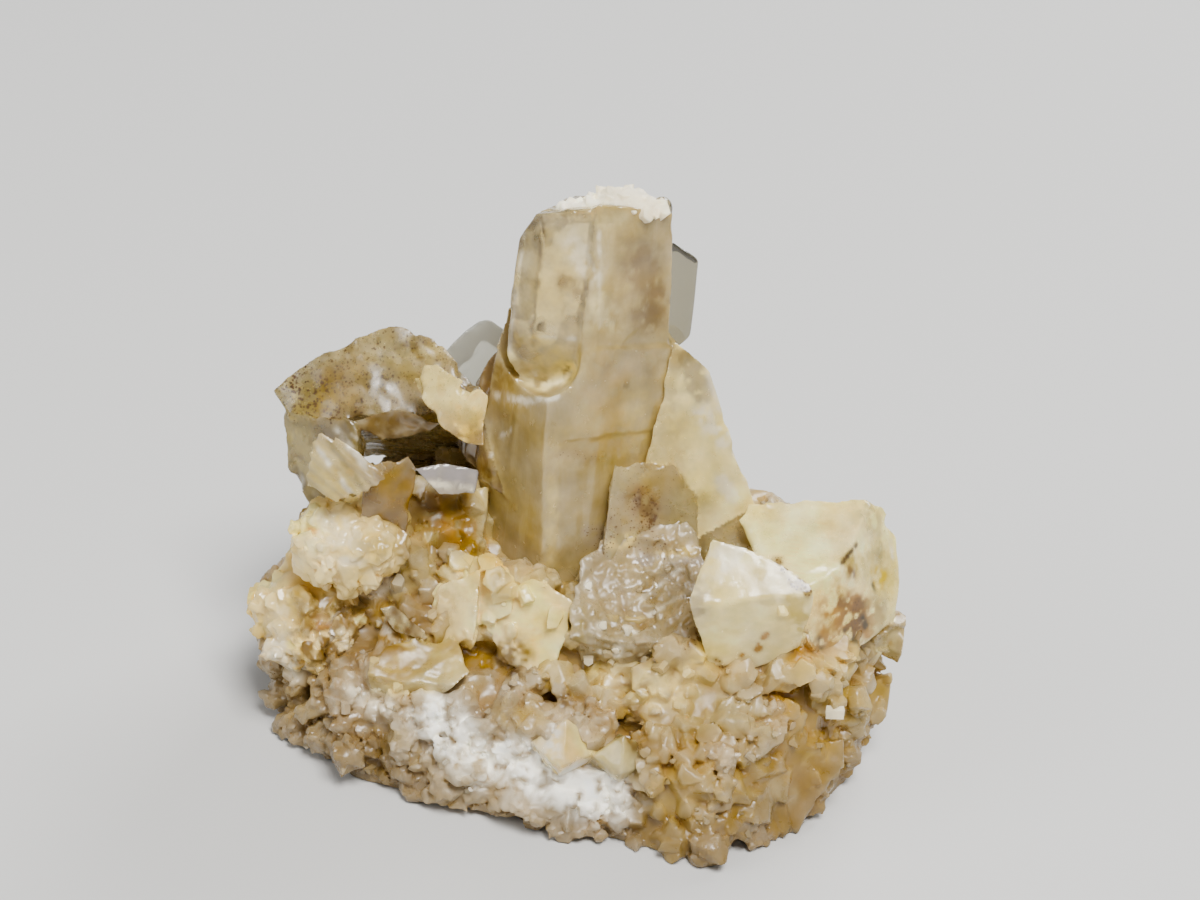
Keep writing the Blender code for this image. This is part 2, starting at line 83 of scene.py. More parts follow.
# ------------------------------------------------------------------ the crystals
# heart (x, y, z), then faces as (azimuth, elevation, distance), as in the solid part
CRYSTALS = {
    "prism_lower": ((-0.9, 1.5, 13.0), [(-65, 5, 2.5), (-135, 0, 3.4), (170, 1, 4.7), (13, 1, 4.0), (46, 5, 3.9), (116, -3, 3.4), (0, 90, 8.2), (0, -90, 6.0)]),
    "prism_left": ((-0.9, 2.5, 21.0), [(-86, 5, 3.05), (-65, 5, 2.65), (-128, 3, 4.3), (175, 0, 3.9), (-90, -18, 2.7), (160, -31, 3.05), (158, -56, 2.95), (22, -43, -0.35), (125, 70, 6.3), (95, 70, 6.05), (157, 28, 5.05), (46, 5, 3.6), (116, -3, 3.2), (0, 0, 2.0)]),
    "prism_right": ((-0.9, 2.5, 21.0), [(-65, 5, 2.68), (12, 5, 3.15), (180, 0, 0.5), (95, 70, 6.1), (46, 5, 3.65), (116, -3, 3.25), (0, -90, 4.0)]),
    "clear_blade": ((2.4, 3.6, 22.5), [(-80, 8, 0.6), (51, 47, 2.1), (7, 0, 1.1), (-12, -39, 2.0), (100, -8, 0.4), (180, 0, 2.5), (72, 53, 2.3)]),
    "shoulder_behind": ((-5.3, 3.4, 16.6), [(-80, 25, 1.3), (160, 25, 1.0), (95, 45, 1.2), (-150, 0, 1.3), (0, 0, 2.5), (90, 0, 2.0), (0, -90, 4.0)]),
    "wedge": ((3.6, 3.0, 13.5), [(-78, 10, 3.1), (27, 21, 2.5), (51, 35, 3.2), (58, 38, 3.4), (165, 1, 0.5), (90, 0, 2.6), (0, -90, 5.0)]),
    "foot_tan": ((3.8, 1.5, 11.7), [(-72, 12, 2.5), (107, 29, 0.5), (57, 35, 0.8), (16, 5, 0.8), (100, 0, 2.0), (180, 0, 3.0), (0, -90, 4.0)]),
    "foot_grey": ((6.3, 2.5, 11.2), [(-88, 25, 2.6), (83, 34, -0.1), (108, 31, -0.2), (14, 2, 1.2), (90, 0, 2.0), (180, 0, 3.0), (0, -90, 4.0)]),
    "clear_behind": ((-7.3, 8.2, 15.5), [(-75, 15, 1.2), (148, 25, 0.5), (100, 43, 1.2), (65, 38, 1.5), (13, -1, 1.9), (100, 0, 1.2), (180, -20, 1.9), (0, -90, 7.0)]),
    "left_block": ((-11.0, 4.4, 15.0), [(-100, 42, 2.5), (137, 24, 2.4), (129, 23, 1.9), (115, 29, 1.7), (91, 33, 1.9), (64, 31, 2.1), (46, 26, 2.6), (-81, -44, 2.2), (-161, -38, 4.3), (90, 0, 4.0), (-5, 0, 5.2), (0, -90, 6.0)]),
    "left_side": ((-14.0, 3.0, 11.8), [(-115, 12, 2.5), (177, -9, 1.1), (-161, -44, 1.3), (81, 38, 0.5), (0, 0, 2.6), (90, 0, 2.4), (0, -90, 4.0)]),
    "pale_ledge": ((-7.5, 1.2, 16.4), [(-105, 28, 2.2), (153, 12, 1.9), (93, 33, 0.6), (66, 26, 0.1), (-142, -58, 0.7), (-164, -39, 0.5), (-76, -71, 1.3), (11, -6, 1.4), (90, 0, 3.0)]),
    "grey_lens": ((-10.1, 1.6, 14.7), [(-100, 10, 1.4), (103, 36, -0.1), (73, 32, -0.1), (-170, -64, 0.5), (-37, -81, 0.3), (2, -42, 0.9), (90, 0, 2.6)]),
    "striped": ((-12.1, -1.0, 13.9), [(-95, 18, 2.1), (148, 34, 1.3), (-154, 76, 2.6), (-4, 55, 2.1), (63, 32, -0.1), (16, -11, 1.2), (-2, -62, 0.8), (-172, -75, 0.9), (170, 5, 1.2), (90, 0, 3.6)]),
    "amber_chip": ((-9.5, -0.2, 12.7), [(-70, 10, 1.5), (122, 35, 0.3), (46, 24, 0.3), (14, -2, 0.4), (180, 0, 1.6), (90, 0, 2.4), (0, -90, 2.2)]),
    "blue_blade": ((-7.2, 0.6, 12.7), [(-85, 28, 1.4), (108, 33, -0.1), (92, 34, -0.2), (-162, -50, 0.7), (38, -83, 0.12), (90, 0, 3.2), (0, 0, 1.5)]),
    "rusty_back": ((-7.6, 1.2, 9.2), [(-88, 30, 2.2), (106, 33, 1.0), (100, 34, 0.9), (166, -8, 1.7), (0, 0, 2.6), (90, 0, 1.6), (0, -90, 3.0)]),
    "brown_slope": ((-7.9, -1.2, 7.2), [(-92, 36, 2.1), (103, 32, 0.9), (168, -12, 0.4), (0, 0, 1.8), (90, 0, 1.8), (0, -90, 2.5)]),
    "hex_plate": ((-2.2, -3.2, 7.5), [(-96, 24, 1.4), (109, 30, 1.2), (72, 35, 1.3), (67, 34, 1.3), (9, -7, 1.6), (0, -21, 1.6), (-5, -68, 1.3), (-163, -77, 1.3), (-169, -50, 1.5), (177, -14, 1.8), (149, 12, 1.7), (90, -20, 1.6)]),
    "cream_plate": ((-4.7, -2.6, 8.6), [(-110, 20, 1.3), (152, 10, 0.7), (90, 30, 0.7), (43, 19, 0.8), (168, 1, 0.9), (-155, -61, 1.4), (-9, -59, 0.7), (0, 0, 1.5), (90, 0, 1.8)]),
    "cream_knob": ((-5.7, -1.8, 9.2), [(-100, 20, 1.1), (144, 19, 0.2), (71, 30, 0.1), (174, -4, 0.4), (0, 0, 1.2), (90, 0, 1.4), (0, -60, 1.4)]),
    "cream_slab": ((-6.5, -2.6, 7.2), [(-120, 20, 1.5), (162, 6, 0.2), (108, 34, 0.5), (-148, -62, 1.1), (-6, -60, 0.7), (0, 0, 1.6), (90, 0, 1.4)]),
    "white_crystal": ((7.9, -3.2, 10.4), [(-92, 42, 2.0), (-179, -20, 2.3), (76, 33, 1.4), (66, 30, 1.2), (60, 28, 1.3), (-78, -3, 1.8), (-81, -12, 1.5), (166, 3, 2.2), (-163, -55, 3.4), (-144, -74, 3.4), (-19, -65, 3.4), (-10, -45, 3.3), (1, -2, 2.9), (23, 22, 2.6), (90, 0, 4.4)]),
    "right_block": ((11.2, 1.2, 10.5), [(-88, 66, 1.9), (156, 1, 3.6), (96, 9, 1.8), (106, 7, 1.8), (87, 15, 3.6), (-35, 29, 2.3), (-54, 9, 2.5), (15, 12, 4.8), (10, 5, 4.3), (5, -2, 4.4), (-14, -53, 4.8), (-171, -35, 2.3), (90, 0, 4.8), (0, -90, 4.5)]),
    "right_foot": ((15.1, 1.0, 6.5), [(-65, 20, 1.7), (19, 21, 0.9), (-4, -32, 0.3), (-49, -81, -0.1), (115, 13, -0.5), (180, 0, 2.4), (90, 0, 1.5)]),
    "grey_seat": ((3.2, -1.0, 8.2), [(-92, 52, 3.1), (162, -7, 2.2), (95, -2, 0.4), (19, -1, 2.1), (176, -18, 2.7), (-89, -16, 4.2), (3, -15, 2.3), (90, 0, 2.5), (0, -90, 4.0)]),
    "flat_crystal": ((-7.5, -5.0, 5.0), [(-95, 60, 1.7), (152, -3, 1.0), (103, 5, 0.1), (28, -4, 1.6), (-3, -41, 1.1), (-101, -14, 2.0), (-86, -15, 1.9), (90, 20, 1.4), (0, -90, 1.6)]),
    "clear_sliver": ((-8.4, -3.8, 7.0), [(-70, 30, 1.2), (112, 25, 0.1), (-167, -39, 0.2), (-119, -67, 0.3), (61, 24, -0.1), (90, 0, 2.0)]),
    "pyramid_left": ((-0.1, -7.6, 3.4), [(-128, 34, 1.2), (-38, 36, 1.1), (150, 40, 1.0), (60, 40, 0.9), (-135, -25, 1.25), (-45, -25, 1.2), (0, -90, 1.0)]),
    "pyramid_right": ((2.7, -7.3, 2.8), [(-125, 38, 1.1), (-35, 30, 0.9), (150, 38, 0.9), (60, 36, 0.8), (-130, -25, 1.1), (-42, -25, 1.0), (0, -90, 1.0)]),
    "rock_low": ((0.5, 0.0, 3.0), [(0, -90, 4.0), (-146, 0, 12.8), (-90, 16, 7.9), (-101, 16, 8.1), (-56, 16, 11.0), (-34, 12, 11.7), (-8, 6, 13.1), (30, 8, 12.6), (68, 10, 10.3), (98, 12, 9.7), (140, 6, 12.9), (178, -14, 14.6), (-92, 72, 4.1), (-140, 50, 8.7)]),
    "rock_high": ((0.5, 1.5, 6.0), [(0, -90, 4.0), (-95, 38, 5.1), (-72, 42, 7.1), (-40, 30, 10.0), (-2, 10, 11.7), (40, 20, 10.5), (85, 20, 7.2), (120, 18, 9.5), (175, -8, 13.9), (-135, 25, 9.7), (0, 90, 3.2)]),
    "crust_amber": ((9.0, -3.0, 4.0), [(-88, 42, 4.2), (-58, 34, 3.3), (-20, 10, 3.9), (0, -90, 5.0), (-165, 10, 6.2), (90, 0, 5.0), (0, 90, 4.4), (-100, 14, 6.3), (-56, 16, 3.6)]),
    "crust_pink": ((5.7, -6.5, -0.2), [(-96, 20, 3.3), (179, 54, 4.4), (157, 76, 4.3), (168, 68, 4.0), (5, -3, 2.4), (167, -6, 2.9), (90, 0, 2.5), (0, -90, 3.0)]),
    "crust_right": ((10.6, -4.5, -0.3), [(-66, 16, 3.2), (135, 67, 4.3), (168, -11, 0.6), (56, 46, 3.0), (-15, -28, 1.5), (90, 0, 3.0), (0, -90, 4.0)]),
    "crust_edge": ((14.3, 0.5, 0.1), [(-60, 10, 2.6), (18, 19, 0.5), (-2, -9, 0.3), (125, 26, 0.7), (180, 0, 2.4), (90, 0, 2.5), (0, -90, 2.5)]),
    "crust_white": ((-2.9, -6.0, 1.1), [(-98, 20, 2.9), (167, 73, 4.2), (25, 68, 3.0), (26, 77, 3.0), (174, -2, 4.7), (18, 9, 4.1), (-87, -33, 2.5), (-110, -30, 2.4), (90, 0, 1.8)]),
    "crust_middle": ((0.8, -7.0, 0.0), [(-98, 24, 3.4), (142, 66, 3.0), (99, 73, 2.8), (-145, -50, 1.2), (169, 0, 2.8), (-60, 5, 2.9), (17, 8, 2.8), (90, 0, 2.0), (0, -90, 3.0)]),
    "back_prism": ((5.2, 6.4, 9.6), [(60, 20, 1.5), (120, 12, 1.7), (0, -10, 1.9), (180, 10, 1.7), (-90, -20, 1.8), (75, 65, 3.0), (20, 50, 2.8), (0, -80, 4.5)]),
    "back_block": ((-3.2, 7.0, 9.2), [(88, 18, 1.9), (35, 5, 2.2), (150, 8, 3.3), (-90, -10, 2.5), (100, 70, 2.2), (-20, 40, 2.4), (0, -80, 4.0)]),
    "back_tip": ((10.4, 6.2, 7.8), [(50, 15, 1.4), (110, 20, 1.3), (-10, 0, 1.4), (180, 0, 1.6), (-90, 0, 2.0), (65, 60, 1.9), (0, -80, 4.0)]),
    "back_left": ((-9.6, 7.4, 7.6), [(105, 22, 1.6), (165, 10, 1.8), (45, 10, 2.7), (-90, 0, 2.4), (120, 68, 1.9), (0, -80, 4.0)]),
}

# centre, half axes, turn about Y
LUMPS = {
    "rosette": ((-11.4, -2.5, 10.2), (2.8, 2.2, 1.9), -10),
    "left_bulge": ((-13.1, -2.0, 5.6), (2.5, 2.5, 2.6), 0),
    "white_cap": ((-0.2, 1.7, 27.9), (1.6, 1.0, 0.72), -6),
    "cap_tail": ((-2.2, 1.3, 27.55), (1.1, 0.8, 0.35), -6),
    "cap_bead": ((1.35, 1.9, 27.8), (0.5, 0.5, 0.65), 0),
}

CHIPS = {
    "prism_lower": ((-3.7, -0.2, 21.7), (2.8, 3.6, 3.0)),
    "grey_seat": ((2.7, -5.9, 13.5), (5.0, 5.0, 5.0)),
    "rock_high": ((2.7, -5.9, 13.5), (5.05, 5.05, 5.05)),
    "right_block": ((9.6, 0.4, 14.6), (2.6, 2.6, 1.6)),
}

HOLLOWS = {
    "cavity_left": ((-7.3, -1.6, 13.1), (2.6, 2.6, 1.5)),
    "cavity_amber": ((-10.4, -4.2, 6.2), (1.8, 1.5, 1.1)),
    "under_plates": ((-4.6, -4.9, 6.3), (1.6, 1.2, 0.8)),
    "front_eye": ((-0.4, -6.1, 5.1), (0.8, 0.7, 0.5)),
    "front_groove": ((1.7, -6.6, 5.0), (1.5, 0.9, 0.7)),
    "front_groove_low": ((3.4, -7.4, 4.5), (1.3, 0.8, 0.7)),
    "foot_lifted": ((-4.3, -9.6, -0.2), (3.4, 1.5, 1.0)),
    "foot_notch": ((9.0, -9.7, 0.2), (0.5, 1.6, 0.9)),
    "foot_hollow": ((-1.0, 3.5, -0.9), (4.2, 3.6, 1.5)),
    "rust_pocket": ((12.8, -3.7, 9.4), (2.1, 1.7, 2.0)),
}

# ------------------------------------------------------------------ distance fields
LATTICE = ((-20.0, 20.0), (-16.0, 16.0), (-3.0, 33.0))


def lattice_noise(axes, wave, seed):
    """A smooth random field with unit spread: random numbers on a coarse lattice, drawn through by cubic splines."""
    rng = np.random.default_rng(seed)
    counts = [int((b - a) / w) + 5 for w, (a, b) in zip(wave, LATTICE)]
    field = rng.standard_normal(counts, dtype=np.float32) * np.float32(3.0)
    for k in range(3):
        t = (axes[k] - LATTICE[k][0]) / wave[k] + 1
        i = np.floor(t).astype(int)
        f = (t - i).astype(np.float32)
        weights = ((1 - f) ** 3 / 6, (3 * f**3 - 6 * f**2 + 4) / 6, (-3 * f**3 + 3 * f**2 + 3 * f + 1) / 6, f**3 / 6)
        shape = [1, 1, 1]
        shape[k] = len(f)
        total = 0
        for j, w in enumerate(weights):
            total = total + np.take(field, np.clip(i + j - 1, 0, counts[k] - 1), axis=k) * w.reshape(shape)
        field = total
    return field


def point_noise(points, wave, seed):
    """The same kind of field at loose points."""
    rng = np.random.default_rng(seed)
    counts = [int((b - a) / wave) + 5 for a, b in LATTICE]
    field = rng.standard_normal(counts, dtype=np.float32) * np.float32(2.4)
    out = np.zeros(len(points), np.float32)
    t = (points - np.array([a for a, _ in LATTICE])) / wave + 1
    i = np.floor(t).astype(int)
    f = t - i
    f = f * f * (3 - 2 * f)
    for a in (0, 1):
        for b in (0, 1):
            for c in (0, 1):
                w = (f[:, 0] if a else 1 - f[:, 0]) * (f[:, 1] if b else 1 - f[:, 1]) * (f[:, 2] if c else 1 - f[:, 2])
                out += w * field[np.clip(i[:, 0] + a, 0, counts[0] - 1), np.clip(i[:, 1] + b, 0, counts[1] - 1), np.clip(i[:, 2] + c, 0, counts[2] - 1)]
    return out


def nearest_seed(points, cell, seed):
    """Distance from each point to the nearest of the seeds scattered one to a cell, and that seed's number."""
    rng = np.random.default_rng(seed)
    base = np.floor(points / cell).astype(int)
    low = base.min(0) - 1
    jitter = rng.random(tuple(base.max(0) + 2 - low) + (3,), dtype=np.float32)
    tag = rng.random(jitter.shape[:3], dtype=np.float32)
    best = np.full(len(points), 99.0, np.float32)
    who = np.zeros(len(points), np.float32)
    for a in (-1, 0, 1):
        for b in (-1, 0, 1):
            for c in (-1, 0, 1):
                q = base + (a, b, c)
                at = tuple((q - low).T)
                d = ((q + jitter[at]) * cell - points).astype(np.float32)
                d = np.sqrt((d * d).sum(1))
                closer = d < best
                best[closer] = d[closer]
                who[closer] = tag[at][closer]
    return best / cell, who


def corners_of(faces):
    """The corners of a convex crystal, about its heart."""
    n = np.array([direction(a, e) for a, e, _ in faces])
    d = np.array([q for _, _, q in faces])
    found = []
    for i in range(len(n)):
        for j in range(i):
            for k in range(j):
                m = n[[i, j, k]]
                if abs(np.linalg.det(m)) < 1e-4:
                    continue
                p = np.linalg.solve(m, d[[i, j, k]])
                if (n @ p <= d + 1e-6).all():
                    found.append(p)
    return np.array(found)


class Growth:
    """Distances to the surface of one piece on a grid, negative inside, and which crystal owns each point."""

    def __init__(self, lo, hi, step, warp=0.10, wave=2.6, seed=1):
        lo, hi = np.maximum(lo, ROOM_LO - 3 * step), np.minimum(hi, ROOM_HI + 3 * step)
        self.step = step
        self.axes = [np.arange(a, b + step, step, dtype=np.float32) for a, b in zip(lo, hi)]
        self.lo = np.array([a[0] for a in self.axes])
        size = [len(a) for a in self.axes]
        self.phi = np.full(size, 3.0, np.float32)
        self.owner = np.zeros(size, np.uint8)
        self.warp = [lattice_noise(self.axes, (wave,) * 3, seed + k) * np.float32(warp) for k in range(3)] if warp else None
        self.chipping = lattice_noise(self.axes, (0.55,) * 3, seed + 7)

    def window(self, lo, hi):
        return tuple(slice(max(0, int(np.searchsorted(a, l)) - 1), int(np.searchsorted(a, h)) + 1) for a, l, h in zip(self.axes, lo, hi))

    def place(self, win, heart):
        x = (self.axes[0][win[0]] - heart[0])[:, None, None]
        y = (self.axes[1][win[1]] - heart[1])[None, :, None]
        z = (self.axes[2][win[2]] - heart[2])[None, None, :]
        if self.warp is None:
            return x, y, z
        return x + self.warp[0][win], y + self.warp[1][win], z + self.warp[2][win]

    def join(self, win, s, owner, blend):
        phi, own = self.phi[win], self.owner[win]
        own[s < phi] = owner
        h = np.maximum(blend - np.abs(phi - s), 0)
        np.minimum(phi, s, out=phi)
        phi -= h * h / (4 * blend)

    def crystal(self, heart, faces, owner, rounding=0.10, chip=0.0, blend=0.12, bite=None, corners=None, margin=0.7):
        corners = corners_of(faces) if corners is None else corners
        win = self.window(corners.min(0) + heart - margin, corners.max(0) + heart + margin)
        if any(w.stop - w.start < 3 for w in win):
            return
        x, y, z = self.place(win, heart)
        first = second = None
        for azimuth, elevation, distance in faces:
            n = direction(azimuth, elevation).astype(np.float32)
            v = x * n[0] + y * n[1] + z * n[2] - np.float32(distance)
            if first is None:
                first, second = v, np.full_like(v, -9.0)
            else:
                second = np.maximum(second, np.minimum(first, v))
                first = np.maximum(first, v)
        edge = first - second
        s = first + np.maximum(rounding - edge, 0) ** 2 / (4 * rounding)
        if chip:
            s = s + chip * np.maximum(1 - edge / 0.6, 0) * np.maximum(self.chipping[win] - 0.2, 0)
        if bite:
            (cx, cy, cz), (rx, ry, rz) = bite
            cx, cy, cz = cx - heart[0], cy - heart[1], cz - heart[2]
            s = np.maximum(s, (1 - np.sqrt(((x - cx) / rx) ** 2 + ((y - cy) / ry) ** 2 + ((z - cz) / rz) ** 2)) * min(rx, ry, rz))
        self.join(win, s, owner, blend)

    def lump(self, heart, radii, turn, owner, blend=0.12, carve=False):
        big = max(radii) + 0.8
        win = self.window(np.array(heart) - big, np.array(heart) + big)
        x, y, z = self.place(win, heart)
        c, s_ = math.cos(math.radians(turn)), math.sin(math.radians(turn))
        x, z = c * x - s_ * z, s_ * x + c * z
        s = (np.sqrt((x / radii[0]) ** 2 + (y / radii[1]) ** 2 + (z / radii[2]) ** 2) - 1) * min(radii)
        if carve:
            phi = self.phi[win]
            np.maximum(phi, -s, out=phi)
        else:
            self.join(win, s, owner, blend)

    def surface_points(self, stride, rng, spacing, bearing):
        """Points spread with about the given spacing over the bearing crystals, and their outward directions."""
        phi = self.phi[::stride, ::stride, ::stride]
        verts, _ = surface_net(phi, self.lo, self.step * stride)
        near = np.clip(np.round((verts - self.lo) / self.step).astype(int), 1, np.array(self.phi.shape) - 2)
        i, j, k = near.T
        normal = np.stack([self.phi[i + 1, j, k] - self.phi[i - 1, j, k], self.phi[i, j + 1, k] - self.phi[i, j - 1, k], self.phi[i, j, k + 1] - self.phi[i, j, k - 1]], 1)
        normal /= np.linalg.norm(normal, axis=1, keepdims=True) + 1e-9
        owner = self.owner[i, j, k]
        fit = np.isin(owner, list(bearing)) & (verts[:, 2] > 0.35) & (normal[:, 2] > -0.75)
        order = rng.permutation(np.nonzero(fit)[0])
        cells = np.floor(verts[order] / spacing).astype(int)
        chosen = order[np.unique(cells, axis=0, return_index=True)[1]]
        return verts[chosen], normal[chosen], owner[chosen]

    def grain(self, at, out, width, owner, rng, blend=0.05):
        """A small blocky crystal, leaning at random about the outward direction."""
        lean = out + rng.normal(0, 0.4, 3)
        az = math.degrees(math.atan2(lean[1], lean[0]))
        el = math.degrees(math.asin(max(-1, min(1, lean[2] / np.linalg.norm(lean)))))
        tip = Matrix.Rotation(math.radians(az), 3, "Z") @ Matrix.Rotation(math.radians(90 - el), 3, "Y")
        faces = []
        spin = rng.uniform(0, 60)
        for k in range(6):
            a, e, q = math.radians(spin + 60 * k + rng.uniform(-12, 12)), math.radians(rng.uniform(-8, 14)), width * rng.uniform(0.34, 0.5)
            faces.append((Vector((math.cos(e) * math.cos(a), math.cos(e) * math.sin(a), math.sin(e))), q))
        for k in range(2):
            a, e, q = math.radians(rng.uniform(0, 360)), math.radians(rng.uniform(45, 85)), width * rng.uniform(0.36, 0.56)
            faces.append((Vector((math.cos(e) * math.cos(a), math.cos(e) * math.sin(a), math.sin(e))), q))
        faces.append((Vector((0, 0, -1)), width * 0.6))
        done = []
        for n, q in faces:
            n = tip @ n
            done.append((math.degrees(math.atan2(n.y, n.x)), math.degrees(math.asin(max(-1, min(1, n.z)))), q))
        span = np.full(3, width * 0.8)
        self.crystal(at - out * width * rng.uniform(0.22, 0.46), done, owner, rounding=0.03, blend=blend, corners=np.array((-span, span)), margin=0.1)

    def roughen(self, amount, waves, seed):
        """Pushes the surface in and out by noise whose strength each owner sets."""
        amp = amount[self.owner]
        for k, (wave, share) in enumerate(waves):
            self.phi += amp * np.float32(share) * lattice_noise(self.axes, wave, seed + k)

    def sugar(self, amount, cell, seed):
        """Raises round grains one cell wide where an owner has any."""
        amp = amount[self.owner]
        band = np.nonzero((np.abs(self.phi) < 0.45) & (amp > 0))
        if not len(band[0]):
            return
        points = np.stack([self.axes[k][band[k]] for k in range(3)], 1)
        near, _ = nearest_seed(points, cell, seed)
        self.phi[band] += amp[band] * (1.5 * near * near - 0.45)

    def mesh(self, name, most):
        x, y, z = (a.reshape([-1 if k == i else 1 for k in range(3)]) for i, a in enumerate(self.axes))
        room = np.maximum(np.maximum(np.maximum(ROOM_LO[0] - x, x - ROOM_HI[0]), np.maximum(ROOM_LO[1] - y, y - ROOM_HI[1])), np.maximum(ROOM_LO[2] - z, z - ROOM_HI[2]))
        np.maximum(self.phi, room.astype(np.float32), out=self.phi)
        verts, quads = surface_net(self.phi, self.lo, self.step)
        verts, quads = whole_bodies(verts, quads)
        return make_mesh(name, verts, quads, most)

    def swell_at(self, verts, reach):
        """How far the surface stands out from its surroundings: above zero on crests, below in crevices."""
        r = max(1, int(round(reach / self.step)))
        near = np.clip(np.round((verts - self.lo) / self.step).astype(int), r, np.array(self.phi.shape) - 1 - r)
        total = 0
        for k in range(3):
            for way in (-r, r):
                at = near.copy()
                at[:, k] += way
                total = total + self.phi[tuple(at.T)]
        return np.clip(total / 3 / reach, -1, 1)

    def owners_at(self, verts):
        near = np.clip(np.round((verts - self.lo) / self.step).astype(int), 0, np.array(self.phi.shape) - 1)
        return self.owner[tuple(near.T)]


CUBE = np.array([(a, b, c) for a in (0, 1) for b in (0, 1) for c in (0, 1)])
CUBE_EDGES = [(i, j) for i in range(8) for j in range(i) if np.abs(CUBE[i] - CUBE[j]).sum() == 1]


def surface_net(phi, lo, step):
    """Vertices and quads of the zero surface: one vertex in each cell that it crosses."""
    inside = phi < 0
    count = np.zeros([n - 1 for n in phi.shape], np.uint8)
    for a, b, c in CUBE:
        count += inside[a : a + count.shape[0], b : b + count.shape[1], c : c + count.shape[2]]
    cells = np.nonzero((count > 0) & (count < 8))
    base = np.stack(cells, 1)
    values = np.stack([phi[cells[0] + a, cells[1] + b, cells[2] + c] for a, b, c in CUBE], 1)
    total, hits = np.zeros((len(base), 3)), np.zeros(len(base))
    for i, j in CUBE_EDGES:
        vi, vj = values[:, i], values[:, j]
        crossed = (vi < 0) != (vj < 0)
        t = np.where(crossed, vi / np.where(crossed, vi - vj, 1), 0)
        total += np.where(crossed[:, None], CUBE[i] + t[:, None] * (CUBE[j] - CUBE[i]), 0)
        hits += crossed
    verts = lo + (base + total / hits[:, None]) * step
    number = np.full(count.shape, -1, np.int32)
    number[cells] = np.arange(len(base))
    quads = []
    for k in range(3):
        a = [slice(1, -1)] * 3
        b = [slice(1, -1)] * 3
        a[k], b[k] = slice(0, -1), slice(1, None)
        ia, ib = inside[tuple(a)], inside[tuple(b)]
        edge = np.nonzero(ia != ib)
        flip = ia[edge]
        at = [e + (0 if q == k else 1) for q, e in enumerate(edge)]
        u, v = (k + 1) % 3, (k + 2) % 3

        def cell(du, dv):
            p = list(at)
            p[u], p[v] = p[u] - du, p[v] - dv
            return number[tuple(p)]

        ring = np.stack([cell(1, 1), cell(0, 1), cell(0, 0), cell(1, 0)], 1)
        ring[~flip] = ring[~flip][:, ::-1]
        quads.append(ring)
    return verts, np.concatenate(quads)


def whole_bodies(verts, quads):
    """Drops crumbs and closed voids: what stays encloses at least a quarter of a cubic millimetre."""
    label = np.arange(len(verts))
    while True:
        low = label[quads].min(1)
        new = label.copy()
        np.minimum.at(new, quads.ravel(), np.repeat(low, 4))
        new = new[new]
        if (new == label).all():
            break
        label = new
    a, b, c, d = (verts[quads[:, k]] for k in range(4))
    share = ((a * np.cross(b, c)).sum(1) + (a * np.cross(c, d)).sum(1)) / 6
    volume = np.bincount(label[quads[:, 0]], share, len(verts))
    kept = volume[label] > 0.25
    number = np.cumsum(kept) - 1
    return verts[kept], number[quads[kept[quads[:, 0]]]]


def make_mesh(name, verts, quads, most):
    """The object of a mesh given in the cluster's millimetres, thinned to the given number of triangles."""
    mesh = bpy.data.meshes.new(name)
    mesh.vertices.add(len(verts))
    mesh.vertices.foreach_set("co", ((verts + SHIFT) * MM).astype(np.float32).ravel())
    mesh.loops.add(quads.size)
    mesh.loops.foreach_set("vertex_index", quads.ravel().astype(np.int32))
    mesh.polygons.add(len(quads))
    mesh.polygons.foreach_set("loop_start", np.arange(0, quads.size, quads.shape[1], dtype=np.int32))
    mesh.update(calc_edges=True)
    obj = bpy.data.objects.new(name, mesh)
    bpy.context.scene.collection.objects.link(obj)
    faces = len(quads) * (quads.shape[1] - 2)
    if faces > most:
        thin = obj.modifiers.new("thin", "DECIMATE")
        thin.ratio = most / faces
        thin.use_collapse_triangulate = True
        done = bpy.data.meshes.new_from_object(obj.evaluated_get(bpy.context.evaluated_depsgraph_get()))
        obj.modifiers.clear()
        obj.data = done
        bpy.data.meshes.remove(mesh)
        done.name = name
    obj.data.shade_smooth()
    obj.data.set_sharp_from_angle(angle=math.radians(26))
    return obj


def points_of(obj):
    """Vertices in the cluster's millimetres, and their normals."""
    n = len(obj.data.vertices)
    co = np.empty(n * 3, np.float32)
    obj.data.vertices.foreach_get("co", co)
    no = np.empty(n * 3, np.float32)
    obj.data.vertex_normals.foreach_get("vector", no)
    return co.reshape(-1, 3) / MM - SHIFT, no.reshape(-1, 3)


# ------------------------------------------------------------------ looks of each crystal
COLOURS = {
    "honey": (0.47, 0.345, 0.115),
    "pale_honey": (0.46, 0.28, 0.06),
    "straw": (0.80, 0.62, 0.24),
    "cream": (0.38, 0.26, 0.065),
    "pale_cream": (0.84, 0.61, 0.15),
    "ivory": (0.97, 0.79, 0.29),
    "white": (0.98, 0.89, 0.66),
    "milk": (0.84, 0.68, 0.32),
    "ice": (0.74, 0.74, 0.66),
    "green_white": (0.74, 0.60, 0.22),
    "amber": (0.36, 0.195, 0.004),
    "deep_amber": (0.2, 0.105, 0.003),
    "rust": (0.34, 0.14, 0.002),
    "deep_rust": (0.15, 0.065, 0.002),
    "dark_brown": (0.05, 0.02, 0.002),
    "brown": (0.25, 0.145, 0.032),
    "tan": (0.20, 0.125, 0.038),
    "olive": (0.37, 0.275, 0.085),
    "grey": (0.36, 0.265, 0.115),
    "lilac": (0.32, 0.285, 0.27),
    "pink": (0.34, 0.25, 0.125),
    "stripe": (0.56, 0.42, 0.12),
    "chip": (0.34, 0.2, 0.02),
    "yellow": (0.5, 0.34, 0.012),
    "moon": (0.97, 0.8, 0.34),
    "warm_moon": (1, 0.74, 0.25),
    "snow": (1.0, 0.97, 0.86),
    "ochre": (0.36, 0.165, 0.001),
    "black": (0.010, 0.006, 0.002),
}

